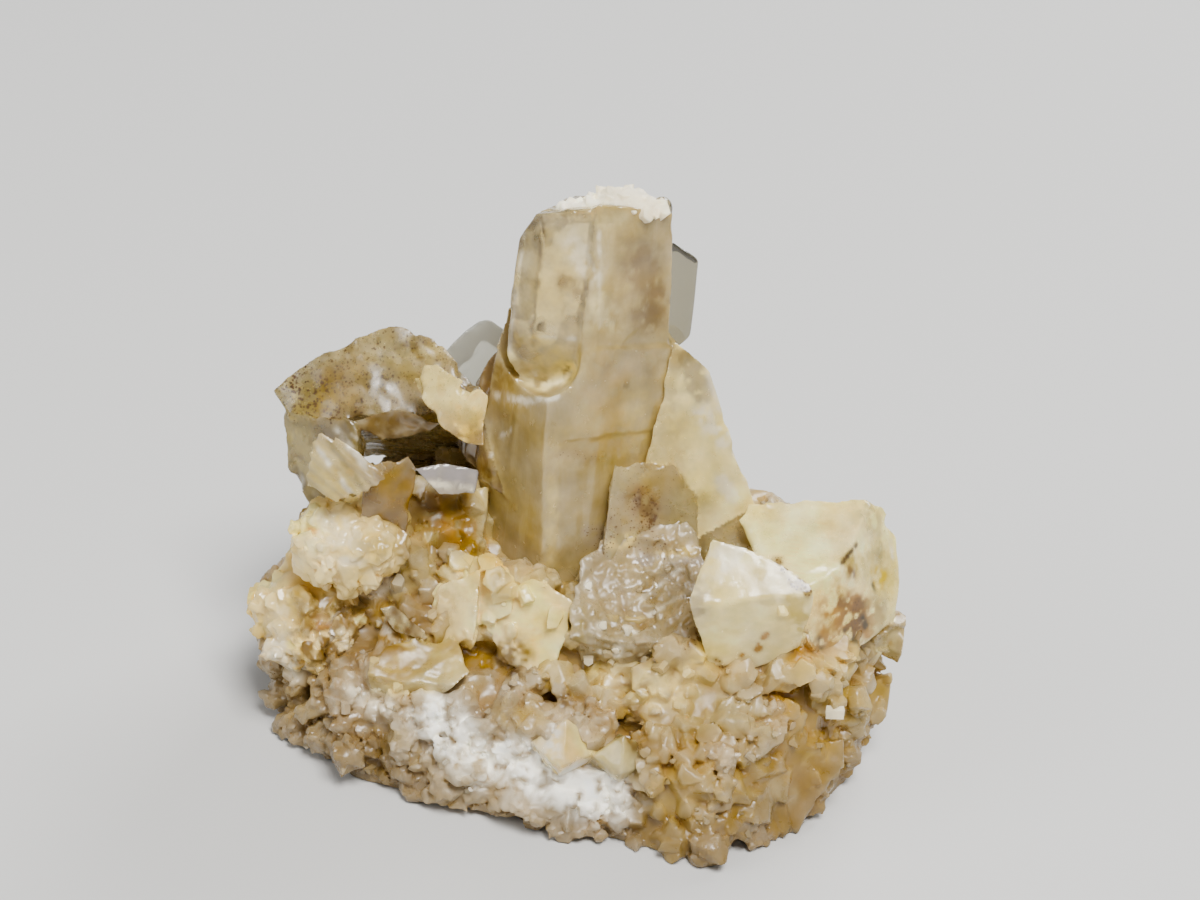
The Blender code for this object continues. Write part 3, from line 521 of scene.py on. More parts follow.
# colour, clearness, roughness, roughness of shape (mm), sugar grain height (mm), edge chipping, brown specks
LOOKS = {
    "prism_lower": ("honey", 0.3, 0.16, 0.010, 0.0, 0.06, 0.02),
    "prism_left": ("straw", 0.74, 0.08, 0.008, 0.0, 0.04, 0),
    "prism_right": ("honey", 0.36, 0.12, 0.010, 0.0, 0.05, 0),
    "shoulder_behind": ("brown", 0.45, 0.16, 0.025, 0.0, 0.10, 0.20),
    "wedge": ("ivory", 0.3, 0.18, 0.018, 0.0, 0.08, 0),
    "foot_tan": ("olive", 0.25, 0.3, 0.03, 0.02, 0.12, 0.25),
    "foot_grey": ("olive", 0.5, 0.26, 0.025, 0.0, 0.10, 0.15),
    "left_block": ("olive", 0.5, 0.24, 0.03, 0.0, 0.12, 0.45),
    "left_side": ("olive", 0.6, 0.20, 0.025, 0.0, 0.12, 0.15),
    "pale_ledge": ("pale_cream", 0.20, 0.26, 0.030, 0.01, 0.15, 0.20),
    "grey_lens": ("grey", 0.50, 0.12, 0.015, 0.0, 0.08, 0.10),
    "striped": ("stripe", 0.35, 0.18, 0.012, 0.0, 0.08, 0.05),
    "amber_chip": ("chip", 0.45, 0.20, 0.015, 0.0, 0.08, 0.10),
    "blue_blade": ("lilac", 0.15, 0.2, 0.010, 0.0, 0.04, 0.05),
    "rusty_back": ("olive", 0.25, 0.26, 0.040, 0.02, 0.12, 0.12),
    "brown_slope": ("tan", 0.30, 0.34, 0.040, 0.02, 0.12, 0.15),
    "hex_plate": ("warm_moon", 0.18, 0.13, 0.03, 0.03, 0.12, 0.05),
    "cream_plate": ("warm_moon", 0.18, 0.13, 0.03, 0.025, 0.12, 0.05),
    "cream_knob": ("warm_moon", 0.18, 0.13, 0.03, 0.025, 0.12, 0.05),
    "cream_slab": ("warm_moon", 0.18, 0.18, 0.03, 0.01, 0.12, 0.08),
    "flat_crystal": ("stripe", 0.3, 0.3, 0.025, 0.03, 0.12, 0.10),
    "clear_sliver": ("milk", 0.65, 0.10, 0.012, 0.0, 0.06, 0.05),
    "white_crystal": ("moon", 0.14, 0.16, 0.010, 0.0, 0.06, 0.0),
    "right_block": ("ivory", 0.24, 0.22, 0.022, 0.01, 0.10, 0.05),
    "right_foot": ("cream", 0.25, 0.28, 0.035, 0.02, 0.12, 0.10),
    "grey_seat": ("grey", 0.2, 0.3, 0.05, 0.05, 0.10, 0.12),
    "pyramid_left": ("warm_moon", 0.35, 0.14, 0.015, 0.015, 0.10, 0.0),
    "pyramid_right": ("green_white", 0.5, 0.14, 0.015, 0.015, 0.10, 0.05),
    "rock_low": ("pink", 0.16, 0.27, 0.030, 0.012, 0.12, 0.15),
    "rock_high": ("cream", 0.16, 0.27, 0.030, 0.012, 0.12, 0.15),
    "crust_amber": ("cream", 0.24, 0.33, 0.030, 0.012, 0.12, 0.10),
    "crust_pink": ("pink", 0.16, 0.33, 0.030, 0.012, 0.12, 0.12),
    "crust_right": ("cream", 0.16, 0.33, 0.030, 0.012, 0.12, 0.12),
    "crust_edge": ("cream", 0.16, 0.27, 0.030, 0.012, 0.12, 0.12),
    "crust_white": ("pink", 0.06, 0.42, 0.035, 0.03, 0.12, 0.0),
    "crust_middle": ("pink", 0.08, 0.40, 0.035, 0.03, 0.12, 0.05),
    "back_prism": ("pale_honey", 0.42, 0.20, 0.015, 0.0, 0.10, 0.05),
    "back_block": ("cream", 0.30, 0.26, 0.025, 0.0, 0.12, 0.10),
    "back_tip": ("green_white", 0.42, 0.20, 0.015, 0.0, 0.10, 0.05),
    "back_left": ("olive", 0.36, 0.26, 0.025, 0.0, 0.12, 0.20),
    "rosette": ("warm_moon", 0.14, 0.13, 0.012, 0.012, 0.0, 0.02),
    "left_bulge": ("warm_moon", 0.22, 0.14, 0.012, 0.012, 0.0, 0.03),
    "white_cap": ("white", 0.0, 0.50, 0.040, 0.05, 0.0, 0.0),
    "cap_tail": ("white", 0.0, 0.50, 0.040, 0.05, 0.0, 0.0),
}
OWNERS = list(LOOKS)


def look_of(index, dtype=np.float32):
    return np.array([LOOKS[name][index] for name in OWNERS], dtype)


# name: crystals, grid step, warp, most triangles
PIECES = {
    "druse_matrix": (["rock_low", "rock_high", "crust_amber", "crust_pink", "crust_right", "crust_edge", "crust_white", "crust_middle", "rusty_back", "brown_slope"], 0.11, 0.14, 197000),
    "cream_plates": (["hex_plate", "cream_plate", "cream_knob", "cream_slab", "flat_crystal", "clear_sliver"], 0.09, 0.10, 60000),
    "main_prism": (["prism_lower", "prism_left", "prism_right", "shoulder_behind"], 0.10, 0.05, 100000),
    "right_wedge": (["wedge", "foot_tan", "foot_grey"], 0.10, 0.03, 70000),
    "left_crystals": (["left_block", "left_side", "pale_ledge", "grey_lens", "striped", "amber_chip", "blue_blade"], 0.09, 0.12, 110000),
    "right_crystals": (["right_block", "right_foot", "white_crystal"], 0.10, 0.08, 90000),
    "grey_seat_crystal": (["grey_seat"], 0.075, 0.12, 70000),
    "back_crystals": (["back_prism", "back_block", "back_tip", "back_left"], 0.11, 0.08, 60000),
    "front_pyramids": (["pyramid_left", "pyramid_right"], 0.06, 0.03, 30000),
    "white_crust_cap": (["white_cap", "cap_tail"], 0.06, 0.08, 40000),
    "rosette_crystals": (["rosette", "left_bulge"], 0.075, 0.10, 90000),
}

# millimetres by which a crystal stands nearer the eye than in the solid part, where that part hides its root
FORWARD = {"white_crystal": 1.5, "right_block": 1.6, "foot_tan": -0.35, "striped": 0.9, "pale_ledge": 0.35, "blue_blade": 1.2, "grey_lens": 0.4, "amber_chip": 0.4, "clear_sliver": 0.2}

# spacing, least and greatest width of the small crystals, layer by layer
GRAINS = {
    "rock_low": [(1.6, 1.2, 2.6), (1.0, 0.6, 1.4), (0.6, 0.35, 0.6)],
    "rock_high": [(1.8, 1.2, 2.8), (1.1, 0.6, 1.4)],
    "crust_amber": [(2.0, 1.3, 2.5), (1.1, 0.6, 1.3)],
    "crust_pink": [(1.3, 0.8, 1.7), (0.9, 0.5, 1.2), (0.55, 0.3, 0.5)],
    "crust_right": [(1.5, 1.0, 2.1), (1.0, 0.6, 1.4)],
    "crust_edge": [(1.4, 1.1, 2.0), (0.9, 0.6, 1.2)],
    "crust_white": [(1.3, 1.0, 1.8), (0.75, 0.4, 1.0), (0.48, 0.3, 0.5)],
    "crust_middle": [(1.4, 1.0, 2.0), (0.75, 0.4, 1.0), (0.48, 0.3, 0.5)],
    "rosette": [(1.3, 1.1, 2.0), (0.8, 0.5, 1.1), (0.5, 0.3, 0.55)],
    "left_bulge": [(1.4, 1.1, 2.2), (0.9, 0.5, 1.1), (0.6, 0.3, 0.55)],
    "rusty_back": [(1.3, 0.8, 1.6)],
    "brown_slope": [(1.3, 0.8, 1.6), (0.8, 0.4, 0.7)],
    "right_foot": [(1.1, 0.9, 1.8)],
    "hex_plate": [(2.2, 0.7, 1.4)],
    "cream_plate": [(2.0, 0.7, 1.3)],
    "cream_knob": [(1.6, 0.7, 1.1)],
    "cream_slab": [(2.0, 0.7, 1.3)],
    "white_cap": [(0.45, 0.35, 0.8)],
    "cap_tail": [(0.45, 0.3, 0.6)],
}


# height in mm of the ridges that a broken face is left with
RIDGES = {"grey_seat": 0.11, "left_block": 0.02, "left_side": 0.03, "foot_tan": 0.05, "foot_grey": 0.04, "right_block": 0.02, "flat_crystal": 0.03, "pale_ledge": 0.03, "hex_plate": 0.025, "cream_plate": 0.025, "cream_slab": 0.025, "shoulder_behind": 0.08, "back_left": 0.05, "back_block": 0.05}


# picture points where the small pointed crystals are rooted in the crust
ROOTS = {"pyramid_left": (563, 744), "pyramid_right": (621, 756)}


def towards_eye(name):
    if name in ROOTS:
        crust = BVHTree.FromObject(made["druse_matrix"][0], bpy.context.evaluated_depsgraph_get())
        hit = crust.ray_cast(Vector((EYE + SHIFT) * MM), Vector(ray(*ROOTS[name])))[0]
        if hit is not None:
            return np.array(hit) / MM - SHIFT
    heart = np.array(CRYSTALS[name][0])
    return heart + FORWARD.get(name, 0.0) * (EYE - heart) / np.linalg.norm(EYE - heart)


def bite_of(name):
    """The broken hollow of a crystal, moved with it."""
    if name not in CHIPS:
        return None
    heart, radii = CHIPS[name]
    return tuple(np.array(heart) + towards_eye(name) - np.array(CRYSTALS[name][0])), radii


def grow(name, number):
    names, step, warp, most = PIECES[name]
    lows, highs, sizes = [], [], {}
    for n in names:
        if n in CRYSTALS:
            sizes[n] = corners_of(CRYSTALS[n][1])
            lows.append(sizes[n].min(0) + towards_eye(n))
            highs.append(sizes[n].max(0) + towards_eye(n))
        else:
            heart, radii, _ = LUMPS[n]
            lows.append(np.array(heart) - max(radii))
            highs.append(np.array(heart) + max(radii))
    field = Growth(np.min(lows, 0) - 0.9, np.max(highs, 0) + 0.9, step, warp, seed=100 * number)
    rng = np.random.default_rng(1000 + number)
    for n in names:
        owner = OWNERS.index(n)
        if n in CRYSTALS:
            field.crystal(towards_eye(n), CRYSTALS[n][1], owner, rounding=0.07, chip=LOOKS[n][5], bite=bite_of(n), corners=sizes[n], blend={"druse_matrix": 0.2, "main_prism": 0.45}.get(name, 0.06))
        else:
            field.lump(*LUMPS[n], owner, blend=0.3)
        if n == "left_side":
            field.lump(*HOLLOWS["cavity_left"], 0, owner, carve=True)
    if name == "druse_matrix":
        for heart, radii in HOLLOWS.values():
            field.lump(heart, radii, 0, 0, carve=True)
    for layer in range(3):
        here = {OWNERS.index(n): GRAINS[n][layer] for n in names if len(GRAINS.get(n, ())) > layer}
        for spacing in sorted({g[0] for g in here.values()}, reverse=True):
            bearing = {o for o, g in here.items() if g[0] == spacing}
            at, out, owner = field.surface_points(4 if layer == 0 else 3, rng, spacing, bearing)
            for p, n, o in zip(at, out, owner):
                field.grain(p, n, rng.uniform(*here[o][1:]), o, rng)
    if name == "druse_matrix":
        for heart, radii in HOLLOWS.values():
            field.lump(heart, tuple(0.85 * r for r in radii), 0, 0, carve=True)
    field.roughen(look_of(3), [((0.9, 0.9, 0.9), 1.0), ((0.32, 0.32, 0.32), 0.4)], 100 * number + 20)
    ridge = np.array([RIDGES.get(n, 0.0) for n in OWNERS], np.float32)[field.owner]
    if ridge.any():
        field.phi += ridge * (np.abs(lattice_noise(field.axes, (1.0, 0.9, 0.9), 100 * number + 25)) - 0.7)
        field.phi += 0.4 * ridge * (np.abs(lattice_noise(field.axes, (0.42, 0.40, 0.40), 100 * number + 26)) - 0.7)
    if name == "left_crystals":
        # growth lines across the small striped crystal
        across = (0.66 * cam_right + 0.75 * cam_up).astype(np.float32)
        x, y, z = np.meshgrid(*field.axes, indexing="ij", sparse=True)
        lines = np.sin((x * across[0] + y * across[1] + z * across[2]) * np.float32(2 * math.pi / 0.46))
        field.phi += np.where(field.owner == OWNERS.index("striped"), 0.045 * lines, 0).astype(np.float32)
    if name == "grey_seat_crystal":
        field.phi += 0.035 * lattice_noise(field.axes, (0.16, 0.30, 0.20), 100 * number + 27)
    if name in ("main_prism", "right_wedge"):
        field.phi += 0.016 * lattice_noise(field.axes, (0.24, 0.24, 6.0), 100 * number + 30)
        field.phi += 0.014 * lattice_noise(field.axes, (0.7, 0.7, 9.0), 100 * number + 31)
    field.sugar(look_of(4), 0.36, 100 * number + 40)
    obj = field.mesh(name, most)
    verts, normals = points_of(obj)
    return obj, field.owners_at(verts), 0.5 * field.swell_at(verts, 0.4) + 0.8 * field.swell_at(verts, 1.1)


# ------------------------------------------------------------------ materials
def crystal_material(name, see_through=True, sss=0.6, reach_mm=0.5, bump=0.12, ior=1.62):
    """Cloudy crystal: light scattered under a glassy skin, clearer where the mesh says so."""
    m = bpy.data.materials.new(name)
    m.use_nodes = True
    nt = m.node_tree
    s = nt.nodes["Principled BSDF"]
    s.inputs["IOR"].default_value = ior
    s.inputs["Specular IOR Level"].default_value = 0.5 if see_through else 0.38
    s.inputs["Subsurface Weight"].default_value = sss
    s.inputs["Subsurface Radius"].default_value = (1.0, 0.80, 0.50)
    s.inputs["Subsurface Scale"].default_value = reach_mm * MM
    s.subsurface_method = "BURLEY"
    place = nt.nodes.new("ShaderNodeTexCoord").outputs["Object"]

    def attribute(which, out="Fac"):
        a = nt.nodes.new("ShaderNodeAttribute")
        a.attribute_name = which
        return a.outputs[out]

    def noise(scale, detail=3.0, rough=0.55):
        n = nt.nodes.new("ShaderNodeTexNoise")
        n.inputs["Scale"].default_value = scale
        n.inputs["Detail"].default_value = detail
        n.inputs["Roughness"].default_value = rough
        nt.links.new(place, n.inputs["Vector"])
        return n.outputs["Fac"]

    def reach(value, a, b, c, d):
        r = nt.nodes.new("ShaderNodeMapRange")
        for socket, x in zip(("From Min", "From Max", "To Min", "To Max"), (a, b, c, d)):
            r.inputs[socket].default_value = x
        nt.links.new(value, r.inputs["Value"])
        return r.outputs["Result"]

    def maths(kind, a, b):
        q = nt.nodes.new("ShaderNodeMath")
        q.operation = kind
        q.use_clamp = True
        for socket, x in zip(q.inputs, (a, b)):
            if isinstance(x, (int, float)):
                socket.default_value = x
            else:
                nt.links.new(x, socket)
        return q.outputs[0]

    def spots(scale, share, blur):
        """One where a scattered grain of dirt lies: its size follows the speck value of the mesh."""
        v = nt.nodes.new("ShaderNodeTexVoronoi")
        v.inputs["Scale"].default_value = scale
        nt.links.new(place, v.inputs["Vector"])
        ragged = maths("ADD", v.outputs["Distance"], reach(noise(scale * 2.2, 2), 0.3, 0.7, -0.10, 0.10))
        size = maths("MULTIPLY", attribute("speck"), share)
        return reach(maths("SUBTRACT", size, ragged), 0.0, blur, 0.0, 1.0)

    tint = nt.nodes.new("ShaderNodeHueSaturation")
    nt.links.new(attribute("tint", "Color"), tint.inputs["Color"])
    nt.links.new(reach(noise(850, 4), 0.3, 0.7, 0.80, 1.16), tint.inputs["Value"])
    nt.links.new(reach(noise(420, 2), 0.3, 0.7, 1.15, 0.85), tint.inputs["Saturation"])
    dirt = nt.nodes.new("ShaderNodeMix")
    dirt.data_type = "RGBA"
    nt.links.new(maths("MAXIMUM", spots(2900, 0.48, 0.14), spots(6000, 0.62, 0.14)), dirt.inputs["Factor"])
    nt.links.new(tint.outputs["Color"], dirt.inputs[6])
    dirt.inputs[7].default_value = (0.11, 0.05, 0.012, 1)
    nt.links.new(dirt.outputs[2], s.inputs["Base Color"])
    nt.links.new(maths("ADD", attribute("rough"), reach(noise(1600, 3), 0.35, 0.75, -0.06, 0.16)), s.inputs["Roughness"])
    if see_through:
        nt.links.new(maths("MULTIPLY", attribute("clear"), reach(noise(650, 3), 0.35, 0.65, 0.65, 1.25)), s.inputs["Transmission Weight"])
    b = nt.nodes.new("ShaderNodeBump")
    b.inputs["Strength"].default_value = bump
    b.inputs["Distance"].default_value = 0.00006
    nt.links.new(noise(3200, 4, 0.6), b.inputs["Height"])
    nt.links.new(b.outputs["Normal"], s.inputs["Normal"])
    return m


def glass_material(name, body, colour, density, milk=0.0, ior=1.62, rough=0.03):
    """Clear crystal: plain transmission with its tint in the depth."""
    m = bpy.data.materials.new(name)
    m.use_nodes = True
    nt = m.node_tree
    s = nt.nodes["Principled BSDF"]
    s.inputs["Base Color"].default_value = (*body, 1)
    s.inputs["Transmission Weight"].default_value = 1.0 - milk
    s.inputs["IOR"].default_value = ior
    place = nt.nodes.new("ShaderNodeTexCoord").outputs["Object"]
    n = nt.nodes.new("ShaderNodeTexNoise")
    n.inputs["Scale"].default_value = 1400
    n.inputs["Detail"].default_value = 4
    nt.links.new(place, n.inputs["Vector"])
    r = nt.nodes.new("ShaderNodeMapRange")
    for socket, x in zip(("From Min", "From Max", "To Min", "To Max"), (0.45, 0.8, rough, rough + 0.22)):
        r.inputs[socket].default_value = x
    nt.links.new(n.outputs["Fac"], r.inputs["Value"])
    nt.links.new(r.outputs["Result"], s.inputs["Roughness"])
    v = nt.nodes.new("ShaderNodeVolumeAbsorption")
    v.inputs["Color"].default_value = (*colour, 1)
    v.inputs["Density"].default_value = density
    nt.links.new(v.outputs["Volume"], nt.nodes["Material Output"].inputs["Volume"])
    return m


# ------------------------------------------------------------------ growing the pieces
made = {}
for number, name in enumerate(PIECES, 1):
    made[name] = grow(name, number)

glass = {}
for number, (name, shapes, step) in enumerate((("clear_blade_crystal", ["clear_blade"], 0.07), ("clear_crystal_behind", ["clear_behind"], 0.08), ("clear_bead", ["cap_bead"], 0.05)), 50):
    lows, highs = [], []
    for n in shapes:
        if n in CRYSTALS:
            c = corners_of(CRYSTALS[n][1]) + CRYSTALS[n][0]
        else:
            c = np.array(LUMPS[n][0]) + np.array([(-1, -1, -1), (1, 1, 1)]) * max(LUMPS[n][1])
        lows.append(c.min(0))
        highs.append(c.max(0))
    field = Growth(np.min(lows, 0) - 0.5, np.max(highs, 0) + 0.5, step, 0.04, seed=100 * number)
    for n in shapes:
        if n in CRYSTALS:
            field.crystal(np.array(CRYSTALS[n][0]), CRYSTALS[n][1], 0, rounding=0.16, chip=0.05)
        else:
            field.lump(*LUMPS[n], 0)
    field.phi += 0.01 * lattice_noise(field.axes, (0.3, 0.3, 1.6), 100 * number + 20)
    glass[name] = field.mesh(name, 40000)


# ------------------------------------------------------------------ painting
# Stains, veils and bright patches: picture points (a line where there are several), radius in mm, colour,
# strength, then clearness, roughness and specks where they differ.
# Some of these marks are painted highlights, sheen and glints, and painted shade in hollows and under ledges; each is
# named where it stands.
STAINS = [
    # upper prism, left rod
    (((530, 238), (521, 330)), 0.30, "milk", 0.6, dict(clear=0.75)),
    (((543, 225), (533, 345)), 0.12, "tan", 0.85, {}),
    (((571, 240), (592, 272)), 0.55, "white", 0.6, dict(clear=0.4)),
    (((566, 282), (578, 288)), 0.40, "brown", 0.9, {}),
    (((540, 350), (565, 362)), 0.75, "pale_cream", 0.8, {}),
    (((519, 352), (514, 320)), 0.35, "pale_honey", 0.5, {}),
    (((585, 225), (620, 216)), 0.35, "milk", 0.5, {}),
    # painted highlights: thin white lines along the left rod's edges
    (((524, 232), (509, 350)), 0.09, "white", 0.8, {}),
    (((599, 232), (600, 325)), 0.09, "white", 0.6, {}),
    # painted light: a pale ring round the rod's foot, lightening the shade under it
    (((510, 358), (516, 371), (528, 380), (545, 384), (562, 377), (574, 364)), 0.34, "moon", 0.95, dict(clear=0.1)),
    (((572, 368),), 0.45, "pale_cream", 0.8, dict(clear=0.2)),
    (((541, 337), (574, 339)), 0.10, "white", 0.7, {}),
    # upper prism, right rod
    (((643, 262), (650, 335)), 0.85, "brown", 0.75, dict(speck=0.15)),
    (((655, 290), (650, 328)), 0.40, "deep_amber", 0.7, {}),
    (((598, 305), (615, 328)), 0.50, "milk", 0.7, {}),
    (((605, 350), (622, 378)), 0.55, "amber", 0.5, {}),
    (((625, 240), (632, 262)), 0.40, "brown", 0.35, {}),
    (((590, 330), (600, 300)), 0.35, "milk", 0.5, {}),
    # shoulder of the prism
    (((475, 388), (518, 372)), 0.75, "brown", 0.6, dict(clear=0.4, rough=0.08)),
    # painted highlights on the shoulder's rim
    (((494, 395), (526, 401), (557, 397)), 0.15, "white", 0.95, dict(rough=0.05)),
    (((470, 370), (480, 366)), 0.15, "white", 0.8, dict(rough=0.05)),
    # lower prism
    (((598, 350), (668, 347)), 0.85, "honey", 0.85, dict(clear=0.33)),
    (((606, 364), (664, 362)), 0.70, "pale_honey", 0.35, {}),
    # painted light on the left face, which is turned away from the key light
    (((494, 430), (480, 560)), 0.55, "straw", 0.35, {}),
    (((552, 478), (551, 570)), 0.28, "pale_cream", 0.6, {}),
    # painted highlight along the prism's left edge
    (((491, 456), (499, 437), (511, 431)), 0.09, "white", 0.8, {}),
    (((560, 452), (592, 458)), 0.35, "brown", 0.45, dict(speck=0.8)),
    (((638, 495), (652, 520)), 0.55, "rust", 0.55, dict(speck=0.8)),
    (((600, 395), (612, 440)), 1.00, "pale_honey", 0.45, {}),
    (((625, 387),), 0.12, "black", 0.8, {}),
    (((640, 400), (640, 470)), 0.50, "pale_cream", 0.35, {}),
    (((560, 555), (610, 545)), 0.60, "brown", 0.30, dict(speck=0.4)),
    # wedge
    (((665, 400), (668, 475)), 0.90, "cream", 0.42, {}),
    (((700, 412), (722, 438)), 0.45, "white", 0.7, {}),
    (((722, 482), (732, 496)), 0.35, "white", 0.7, {}),
    (((690, 362), (700, 392)), 0.60, "grey", 0.6, dict(clear=0.6)),
    (((708, 372), (750, 490)), 0.16, "white", 0.6, {}),
    (((660, 530), (700, 505)), 0.60, "olive", 0.5, {}),
    # left block and the crystals before it
    (((315, 362), (378, 337), (432, 352)), 0.45, "milk", 0.5, dict(speck=0.35)),
    (((298, 385), (325, 415)), 1.10, "olive", 0.45, dict(speck=0.95)),
    (((378, 355), (430, 360)), 0.80, "milk", 0.35, {}),
    # partly the lens's own grey-brown, partly painted shade on its shadowed underside
    (((372, 425), (402, 432)), 0.55, "tan", 0.85, {}),
    (((330, 375), (350, 395)), 0.70, "brown", 0.35, dict(speck=0.8)),
    (((277, 390), (283, 402)), 0.50, "milk", 0.8, dict(clear=0.65)),
    # the grey lens again: partly its own grey-brown, partly painted shade
    (((352, 418), (430, 428)), 0.60, "brown", 0.6, {}),
    (((372, 378), (395, 395)), 0.80, "cream", 0.6, {}),
    (((300, 440), (303, 475)), 0.90, "green_white", 0.5, dict(clear=0.5)),
    (((425, 385), (470, 400)), 0.90, "ivory", 0.7, dict(speck=0.25)),
    (((440, 425), (480, 425)), 0.70, "cream", 0.6, {}),
    # painted sheen: a white diagonal band across the striped crystal
    (((338, 432), (378, 480)), 0.20, "white", 0.95, dict(rough=0.08)),
    (((374, 455), (384, 478)), 0.30, "pale_honey", 0.7, {}),
    (((345, 475), (362, 490)), 0.55, "green_white", 0.5, {}),
    (((318, 448), (350, 492)), 0.12, "white", 0.9, {}),
    (((328, 440), (363, 488)), 0.14, "olive", 1.0, {}),
    (((350, 436), (384, 470)), 0.14, "olive", 1.0, {}),
    (((352, 434), (382, 462)), 0.08, "white", 0.7, {}),
    (((378, 475), (398, 490)), 0.60, "chip", 0.8, {}),
    # painted shade in the cavity
    (((390, 440), (475, 436)), 0.45, "brown", 0.75, {}),
    (((425, 468), (468, 474)), 0.60, "lilac", 0.95, dict(rough=0.06, clear=0.1)),
    # painted highlight on the blade's lower edge
    (((418, 482), (470, 489)), 0.14, "white", 0.8, {}),
    (((440, 508), (458, 540)), 0.95, "brown", 1.0, {}),
    (((452, 536),), 0.22, "black", 0.9, {}),
    (((438, 505), (458, 530)), 0.55, "ochre", 1.0, dict(rough=0.35)),
    (((420, 500), (425, 545)), 0.70, "brown", 0.7, {}),
    (((462, 500), (470, 550)), 0.50, "deep_amber", 0.8, {}),
    (((452, 522), (446, 505)), 0.22, "amber", 0.9, {}),
    (((400, 515), (412, 550)), 0.90, "brown", 0.7, {}),
    (((425, 560), (405, 590)), 0.80, "olive", 0.6, dict(speck=0.3)),
    # rosette, bulge, hollows at the left
    (((330, 522), (352, 545)), 0.80, "white", 0.5, {}),
    (((375, 590), (395, 582)), 0.35, "white", 0.8, dict(rough=0.06)),
    (((370, 545), (390, 560)), 0.70, "cream", 0.5, {}),
    (((282, 650), (290, 672)), 0.60, "white", 0.6, {}),
    (((300, 600), (322, 640)), 0.55, "amber", 0.55, {}),
    (((325, 642), (388, 634)), 1.45, "deep_amber", 1.0, dict(rough=0.42)),
    (((345, 615), (365, 612)), 0.70, "amber", 0.8, {}),
    (((322, 622),), 0.40, "rust", 0.9, {}),
    (((290, 700), (305, 715)), 0.80, "olive", 0.5, {}),
    (((330, 698), (360, 720)), 0.95, "brown", 0.85, {}),
    (((378, 620), (398, 641), (413, 641)), 0.12, "white", 0.8, {}),
    (((375, 690), (430, 688)), 0.30, "ivory", 0.6, {}),
    (((395, 665), (430, 660)), 0.70, "pale_honey", 0.4, {}),
    # plates and the hollow under them
    (((460, 575), (478, 600)), 0.80, "ivory", 0.7, {}),
    (((445, 600), (440, 620)), 0.60, "amber", 0.35, {}),
    (((515, 600), (545, 630)), 1.10, "ivory", 0.6, {}),
    (((500, 580), (512, 600)), 0.40, "amber", 0.4, {}),
    (((465, 650), (512, 656)), 0.80, "deep_amber", 0.9, {}),
    # painted shade in the small slit
    (((495, 668), (515, 670)), 0.30, "dark_brown", 0.9, {}),
    (((455, 645), (500, 668)), 0.60, "amber", 0.5, {}),
    (((505, 715), (540, 720)), 0.70, "cream", 0.6, dict(clear=0.4)),
    # painted shade in the small hollow and in the groove beside it
    (((545, 700), (572, 703)), 0.35, "dark_brown", 0.85, {}),
    (((580, 705), (640, 738)), 0.60, "brown", 0.85, {}),
    # seat
    (((600, 530), (655, 545)), 0.90, "pink", 0.85, dict(speck=0.5, clear=0.1)),
    (((612, 545), (630, 538)), 0.30, "pale_cream", 0.8, {}),
    (((660, 560), (690, 552)), 0.30, "pale_cream", 0.6, {}),
    # painted glints: diagonal streaks of white sparkle on the seat
    (((640, 600), (680, 570)), 0.12, "white", 0.7, {}),
    (((650, 615), (690, 590)), 0.12, "white", 0.6, {}),
    (((668, 575), (690, 596)), 0.30, "tan", 0.6, {}),
    (((640, 500), (655, 515)), 0.40, "dark_brown", 0.6, dict(speck=0.9)),
    (((595, 560), (610, 580)), 0.60, "pink", 0.7, dict(clear=0.1)),
    (((660, 585), (690, 600)), 0.90, "grey", 0.6, dict(clear=0.55, rough=0.12)),
    (((575, 615), (580, 640)), 0.45, "olive", 0.7, {}),
    (((588, 586),), 0.22, "white", 0.95, {}),
    (((600, 627), (632, 630)), 0.22, "white", 0.9, {}),
    (((604, 652), (620, 650)), 0.25, "white", 0.9, {}),
    (((640, 560), (700, 560)), 0.25, "lilac", 0.5, dict(rough=0.06)),
    # white crystal and right block
    (((715, 560), (745, 548)), 0.60, "white", 0.6, {}),
    (((762, 575), (768, 602)), 0.35, "yellow", 0.5, {}),
    (((735, 600), (720, 640)), 0.90, "ivory", 0.5, {}),
    (((778, 563), (804, 592)), 0.30, "deep_rust", 0.8, dict(speck=1.0)),
    (((795, 600), (800, 630)), 0.45, "yellow", 0.7, {}),
    (((697, 632), (683, 656)), 0.22, "deep_rust", 0.8, dict(speck=0.8)),
    (((716, 660), (727, 668)), 0.20, "deep_rust", 0.8, dict(speck=0.8)),
    (((757, 650), (766, 634)), 0.18, "rust", 0.9, {}),
    (((742, 655),), 0.16, "rust", 0.9, {}),
    (((775, 515), (840, 512)), 1.10, "ivory", 0.5, {}),
    (((872, 515), (880, 570)), 0.70, "green_white", 0.6, dict(clear=0.6)),
    (((850, 571),), 0.75, "yellow", 1.0, dict(clear=0.05)),
    (((877, 579),), 0.65, "yellow", 1.0, dict(clear=0.05)),
    (((836, 612), (866, 622)), 1.10, "ochre", 1.0, dict(rough=0.4, clear=0.0)),
    (((852, 622),), 0.80, "deep_rust", 0.85, dict(clear=0.0)),
    (((803, 655), (832, 645)), 0.70, "ochre", 1.0, dict(rough=0.4, clear=0.0)),
    (((857, 608), (856, 632)), 0.42, "deep_rust", 1.0, dict(speck=0.6)),
    (((850, 570), (853, 576)), 0.22, "deep_rust", 0.9, {}),
    (((857, 544), (840, 566)), 0.11, "dark_brown", 0.9, {}),
    (((871, 581), (874, 588)), 0.16, "black", 0.9, {}),
    (((843, 634), (854, 641)), 0.24, "black", 0.95, {}),
    (((834, 598), (846, 604)), 0.30, "deep_rust", 0.8, {}),
    (((862, 618), (866, 626)), 0.16, "black", 0.9, {}),
    (((818, 640), (822, 648)), 0.18, "dark_brown", 0.9, {}),
    # painted highlight along the right block's right edge
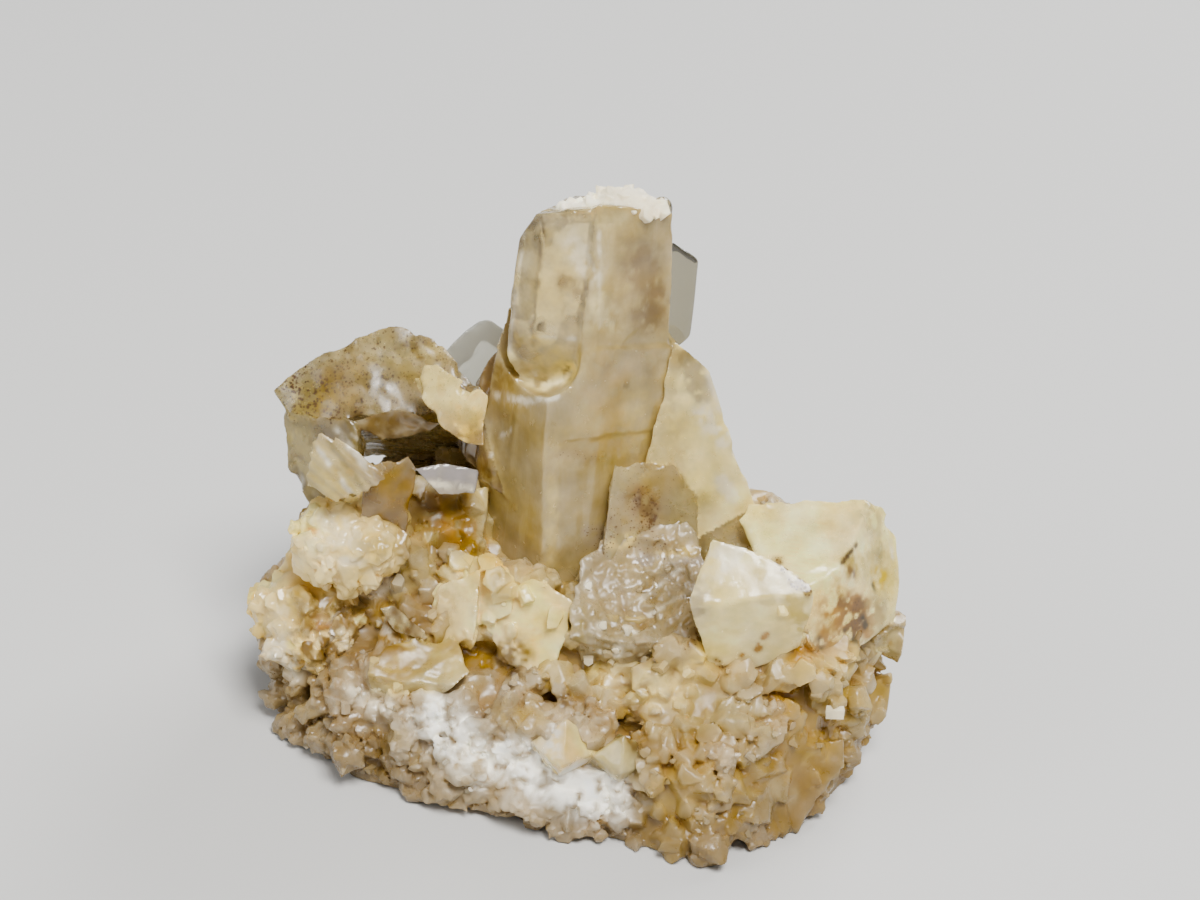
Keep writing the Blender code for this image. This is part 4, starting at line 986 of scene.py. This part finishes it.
    (((884, 500), (893, 556)), 0.14, "white", 0.7, {}),
    (((880, 600), (888, 650)), 0.60, "green_white", 0.6, dict(clear=0.5)),
    (((815, 672), (845, 660)), 0.80, "pale_cream", 0.5, {}),
    # front
    # partly the crust's tan, partly painted shade along the lower edges
    (((365, 745), (430, 800)), 1.6, "tan", 0.5, {}),
    (((560, 835), (720, 845)), 1.6, "tan", 0.5, {}),
    (((800, 705), (846, 775)), 1.8, "tan", 0.42, {}),
    (((740, 800), (840, 780)), 1.6, "tan", 0.5, {}),
    (((290, 690), (310, 720)), 1.2, "tan", 0.5, {}),
    (((610, 680), (680, 690)), 0.80, "ivory", 0.4, {}),
    (((700, 695), (755, 728)), 1.10, "olive", 0.55, {}),
    (((790, 745), (815, 775)), 0.90, "deep_amber", 0.35, {}),
    (((660, 700), (700, 660)), 0.60, "pale_cream", 0.5, {}),
    (((655, 742), (745, 742)), 0.60, "deep_amber", 0.5, {}),
    (((832, 712),), 0.22, "white", 0.8, {}),
    (((434, 719), (458, 741), (482, 757), (520, 766), (560, 778), (606, 792)), 1.00, "snow", 1.0, dict(rough=0.4)),
    (((357, 694), (386, 708)), 0.50, "white", 0.6, {}),
    (((275, 640), (292, 668)), 0.60, "white", 0.5, {}),
    (((566, 790), (608, 797)), 0.85, "snow", 1.0, dict(rough=0.4)),
    (((556, 728), (552, 752)), 0.35, "snow", 0.6, {}),
    (((612, 748), (610, 762)), 0.30, "moon", 0.6, {}),
    (((772, 785), (790, 795)), 0.45, "grey", 0.6, {}),
    (((640, 790), (720, 800)), 0.90, "cream", 0.5, {}),
    (((400, 735), (420, 760)), 0.50, "cream", 0.5, {}),
]


def paint(obj, owners, swell):
    verts, normals = points_of(obj)
    tint = np.array([COLOURS[LOOKS[n][0]] for n in OWNERS], np.float32)[owners]
    calm = np.array([0.35 if n in ("prism_lower", "prism_left", "prism_right", "wedge", "white_crystal", "white_cap", "cap_tail") else 1.0 for n in OWNERS])[owners]
    tint = tint * (1 + 0.10 * calm * np.clip(point_noise(verts, 1.6, 5), -1.5, 1.5))[:, None]
    warmth = (calm * np.clip(point_noise(verts, 2.3, 6) * 0.5, 0, 1))[:, None]
    tint = tint * (1 - warmth * (1 - np.array((0.97, 0.87, 0.66))))
    # Painted shade and painted light from the shape: crevices are darkened towards brown, crests lightened towards
    # white.
    low, high = np.clip(-swell, 0, 1)[:, None], np.clip(swell, 0, 1)[:, None]
    tint = tint * (1 - calm[:, None] * low * (1 - np.array((0.66, 0.50, 0.26))))
    tint = tint + high * 0.14 * (np.array(COLOURS["white"]) - tint)
    # Painted shade: the rock and crust pieces darken towards the bottom, half as much on the white and middle crust
    # and the left bulge.
    bottom_shade_share = np.array([0.5 if n in ("crust_white", "crust_middle", "left_bulge") else 1.0 if n.startswith(("rock", "crust")) else 0.0 for n in OWNERS])[owners]
    painted_bottom_shade = (bottom_shade_share * np.clip((6.0 - verts[:, 2]) / 5.0, 0, 1))[:, None]
    tint = tint * (1 - painted_bottom_shade * (1 - np.array((0.58, 0.54, 0.47))))
    return dict(obj=obj, verts=verts, normals=normals, tint=tint.astype(np.float32), clear=look_of(1)[owners], rough=look_of(2)[owners], speck=look_of(6)[owners], ragged=point_noise(verts, 0.45, 8) + 0.6 * point_noise(verts, 0.2, 9))


painted = {name: paint(*parts) for name, parts in made.items()}
depsgraph = bpy.context.evaluated_depsgraph_get()
trees = {name: BVHTree.FromObject(p["obj"], depsgraph) for name, p in painted.items()}


def seen_at(u, v):
    """Where the picture point falls on the cloudy pieces, in the cluster's millimetres."""
    start = Vector((EYE + SHIFT) * MM)
    best, place = 9.0, None
    for tree in trees.values():
        hit, _, _, far = tree.ray_cast(start, Vector(ray(u, v)))
        if hit is not None and far < best:
            best, place = far, hit
    return None if place is None else np.array(place) / MM - SHIFT


def stain(points, radius, colour, strength, change):
    spots = []
    for (u0, v0), (u1, v1) in zip(points, points[1:] or points):
        steps = max(1, int(math.hypot(u1 - u0, v1 - v0) / (8 * max(radius, 0.2))) + 1)
        spots += [seen_at(u0 + (u1 - u0) * k / steps, v0 + (v1 - v0) * k / steps) for k in range(steps + 1)]
    spots = [q for q in spots if q is not None]
    if not spots:
        return
    middle = np.mean(spots, 0)
    wide = max(np.linalg.norm(q - middle) for q in spots) + 2.5 * radius
    for p in painted.values():
        near = np.nonzero((np.abs(p["verts"] - middle) < wide).all(1))[0]
        if not len(near):
            continue
        v = p["verts"][near]
        gap = np.min([((v - q) ** 2).sum(1) for q in spots], 0) / radius**2
        w = np.clip(np.exp(-gap) * (1.15 + 0.45 * p["ragged"][near]), 0, 1) * strength
        w = w[:, None]
        p["tint"][near] += w * (np.array(COLOURS[colour], np.float32) - p["tint"][near])
        for which, value in change.items():
            p[which][near] += w[:, 0] * (value - p[which][near])


for one in STAINS:
    stain(*one)

# how far light wanders under the skin, in mm: less where a crystal carries fine markings
REACH = {"left_crystals": 0.16, "right_crystals": 0.2, "grey_seat_crystal": 0.2, "main_prism": 0.28, "cream_plates": 0.25, "right_wedge": 0.3, "rosette_crystals": 0.3}

for name, p in painted.items():
    mesh = p["obj"].data
    colour = np.concatenate([np.clip(p["tint"], 0, 1), np.ones((len(p["tint"]), 1), np.float32)], 1)
    mesh.attributes.new("tint", "FLOAT_COLOR", "POINT").data.foreach_set("color", colour.astype(np.float32).ravel())
    for which in ("clear", "rough", "speck"):
        mesh.attributes.new(which, "FLOAT", "POINT").data.foreach_set("value", np.clip(p[which], 0, 1).astype(np.float32))
    mesh.materials.append(crystal_material(name + "_surface", reach_mm=REACH.get(name, 0.45), see_through=name not in ("druse_matrix", "white_crust_cap")))

# Small clean crystals standing on the druse, each half sunk in what carries it.
PERCHED = [(588, 660, 0.7), (612, 662, 0.5), (645, 660, 0.8), (588, 586, 0.5), (602, 627, 0.45), (628, 630, 0.6), (606, 652, 0.5), (616, 650, 0.4), (640, 590, 0.3), (655, 612, 0.3), (668, 570, 0.3), (832, 712, 0.7), (790, 726, 0.5), (562, 660, 0.6), (545, 676, 0.5), (575, 672, 0.7), (660, 668, 0.8), (690, 672, 0.6), (345, 705, 0.5), (398, 708, 0.5), (398, 585, 0.8), (330, 560, 0.6), (352, 600, 0.6)]
SCATTER = {"druse_matrix": 230, "cream_plates": 14, "grey_seat_crystal": 8, "left_crystals": 0, "right_crystals": 3, "back_crystals": 16}


def stand_small_crystals():
    rng = np.random.default_rng(77)
    sites = []
    for u, v, width in PERCHED:
        at = seen_at(u, v)
        if at is None:
            continue
        near = [(((p["verts"] - at) ** 2).sum(1), p) for p in painted.values()]
        gaps, p = min(near, key=lambda pair: pair[0].min())
        sites.append((at, width, p, int(gaps.argmin())))
    for name, count in SCATTER.items():
        p = painted[name]
        fit = np.nonzero((p["verts"][:, 2] > 0.5) & (np.abs(p["verts"]) < (15.6, 10.6, 99)).all(1))[0]
        for q in rng.choice(fit, count, replace=False):
            sites.append((p["verts"][q], float(rng.uniform(0.25, 0.25 + 0.4 * rng.random())), p, q))
    bm = bmesh.new()
    hues = []
    for at, width, p, q in sites:
        out = p["normals"][q] + rng.normal(0, 0.35, 3)
        turn = Vector(out).to_track_quat("Z", "Y").to_matrix()
        faces = [(rng.uniform(0, 12) + 60 * k, rng.uniform(-6, 8), rng.uniform(0.3, 0.5)) for k in range(6)] + [(rng.uniform(0, 360), rng.uniform(40, 80), rng.uniform(0.3, 0.6)) for k in range(3)] + [(0, -90, 0.8)]
        ring = [bm.verts.new(tuple((at + SHIFT + width * np.array(turn @ Vector(c))) * MM)) for c in corners_of(faces)]
        bmesh.ops.convex_hull(bm, input=ring)
        hues += [np.clip(p["tint"][q] * 0.92 + 0.08 * np.array(COLOURS["white"]), 0, 1)] * len(ring)
    mesh = bpy.data.meshes.new("small_crystals")
    bm.to_mesh(mesh)
    bm.free()
    colour = np.concatenate([np.array(hues), np.ones((len(hues), 1))], 1).astype(np.float32)
    mesh.attributes.new("tint", "FLOAT_COLOR", "POINT").data.foreach_set("color", colour.ravel())
    for which, value in (("clear", 0.12), ("rough", 0.18), ("speck", 0.0)):
        mesh.attributes.new(which, "FLOAT", "POINT").data.foreach_set("value", np.full(len(hues), value, np.float32))
    obj = bpy.data.objects.new("small_crystals", mesh)
    bpy.context.scene.collection.objects.link(obj)
    mesh.materials.append(crystal_material("small_crystals_surface", see_through=False))
    return obj


small = stand_small_crystals()

ice = glass_material("ice_crystal", (0.80, 0.80, 0.72), (0.74, 0.78, 0.70), 120.0, milk=0.40)
mint = glass_material("clear_crystal", (0.50, 0.47, 0.36), (0.55, 0.51, 0.38), 1000.0, milk=0.10)
for name, obj in glass.items():
    obj.data.materials.append(ice if name == "clear_crystal_behind" else mint)

for obj in [p["obj"] for p in painted.values()] + list(glass.values()) + [small]:
    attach(obj, "root")
    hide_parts("crystal_cluster")

# ------------------------------------------------------------------ floor, light, camera
bm = bmesh.new()
bmesh.ops.create_grid(bm, x_segments=2, y_segments=2, size=1.5)
mesh = bpy.data.meshes.new("floor")
bm.to_mesh(mesh)
bm.free()
floor = bpy.data.objects.new("floor", mesh)
bpy.context.scene.collection.objects.link(floor)
ground = bpy.data.materials.new("pale_floor")
ground.use_nodes = True
ground.node_tree.nodes["Principled BSDF"].inputs["Base Color"].default_value = (0.62, 0.62, 0.61, 1)
ground.node_tree.nodes["Principled BSDF"].inputs["Roughness"].default_value = 0.7
floor.data.materials.append(ground)

world = bpy.data.worlds.new("soft_room")
world.use_nodes = True
world.node_tree.nodes["Background"].inputs["Color"].default_value = (0.93, 0.96, 1.0, 1)
world.node_tree.nodes["Background"].inputs["Strength"].default_value = 0.27
bpy.context.scene.world = world


def softbox(name, at, size, power, colour=(1, 1, 1)):
    light = bpy.data.lights.new(name, "AREA")
    light.shape = "RECTANGLE"
    light.size, light.size_y = size
    light.energy = power
    light.color = colour
    obj = bpy.data.objects.new(name, light)
    obj.location = at
    aim = Vector((0, 0, 0.012)) - Vector(at)
    obj.rotation_euler = aim.to_track_quat("-Z", "Y").to_euler()
    bpy.context.scene.collection.objects.link(obj)


def around(azimuth, elevation, distance):
    return tuple(direction(azimuth, elevation) * distance)


softbox("key", around(-68, 64, 0.42), (0.17, 0.17), 2.8, (1.0, 0.98, 0.95))
softbox("fill", around(-155, 30, 0.45), (0.22, 0.22), 0.65)
softbox("rim", around(62, 38, 0.40), (0.20, 0.16), 1.3)

camera = bpy.data.cameras.new("camera")
camera.lens = LENS
camera.sensor_width = SENSOR
camera.clip_start = 0.01
camera.clip_end = 10
seat = bpy.data.objects.new("camera", camera)
pose = Matrix((Vector(cam_right), Vector(cam_up), Vector(-ahead))).transposed().to_4x4()
pose.translation = Vector((EYE + SHIFT) * MM)
seat.matrix_world = pose
bpy.context.scene.collection.objects.link(seat)
bpy.context.scene.camera = seat
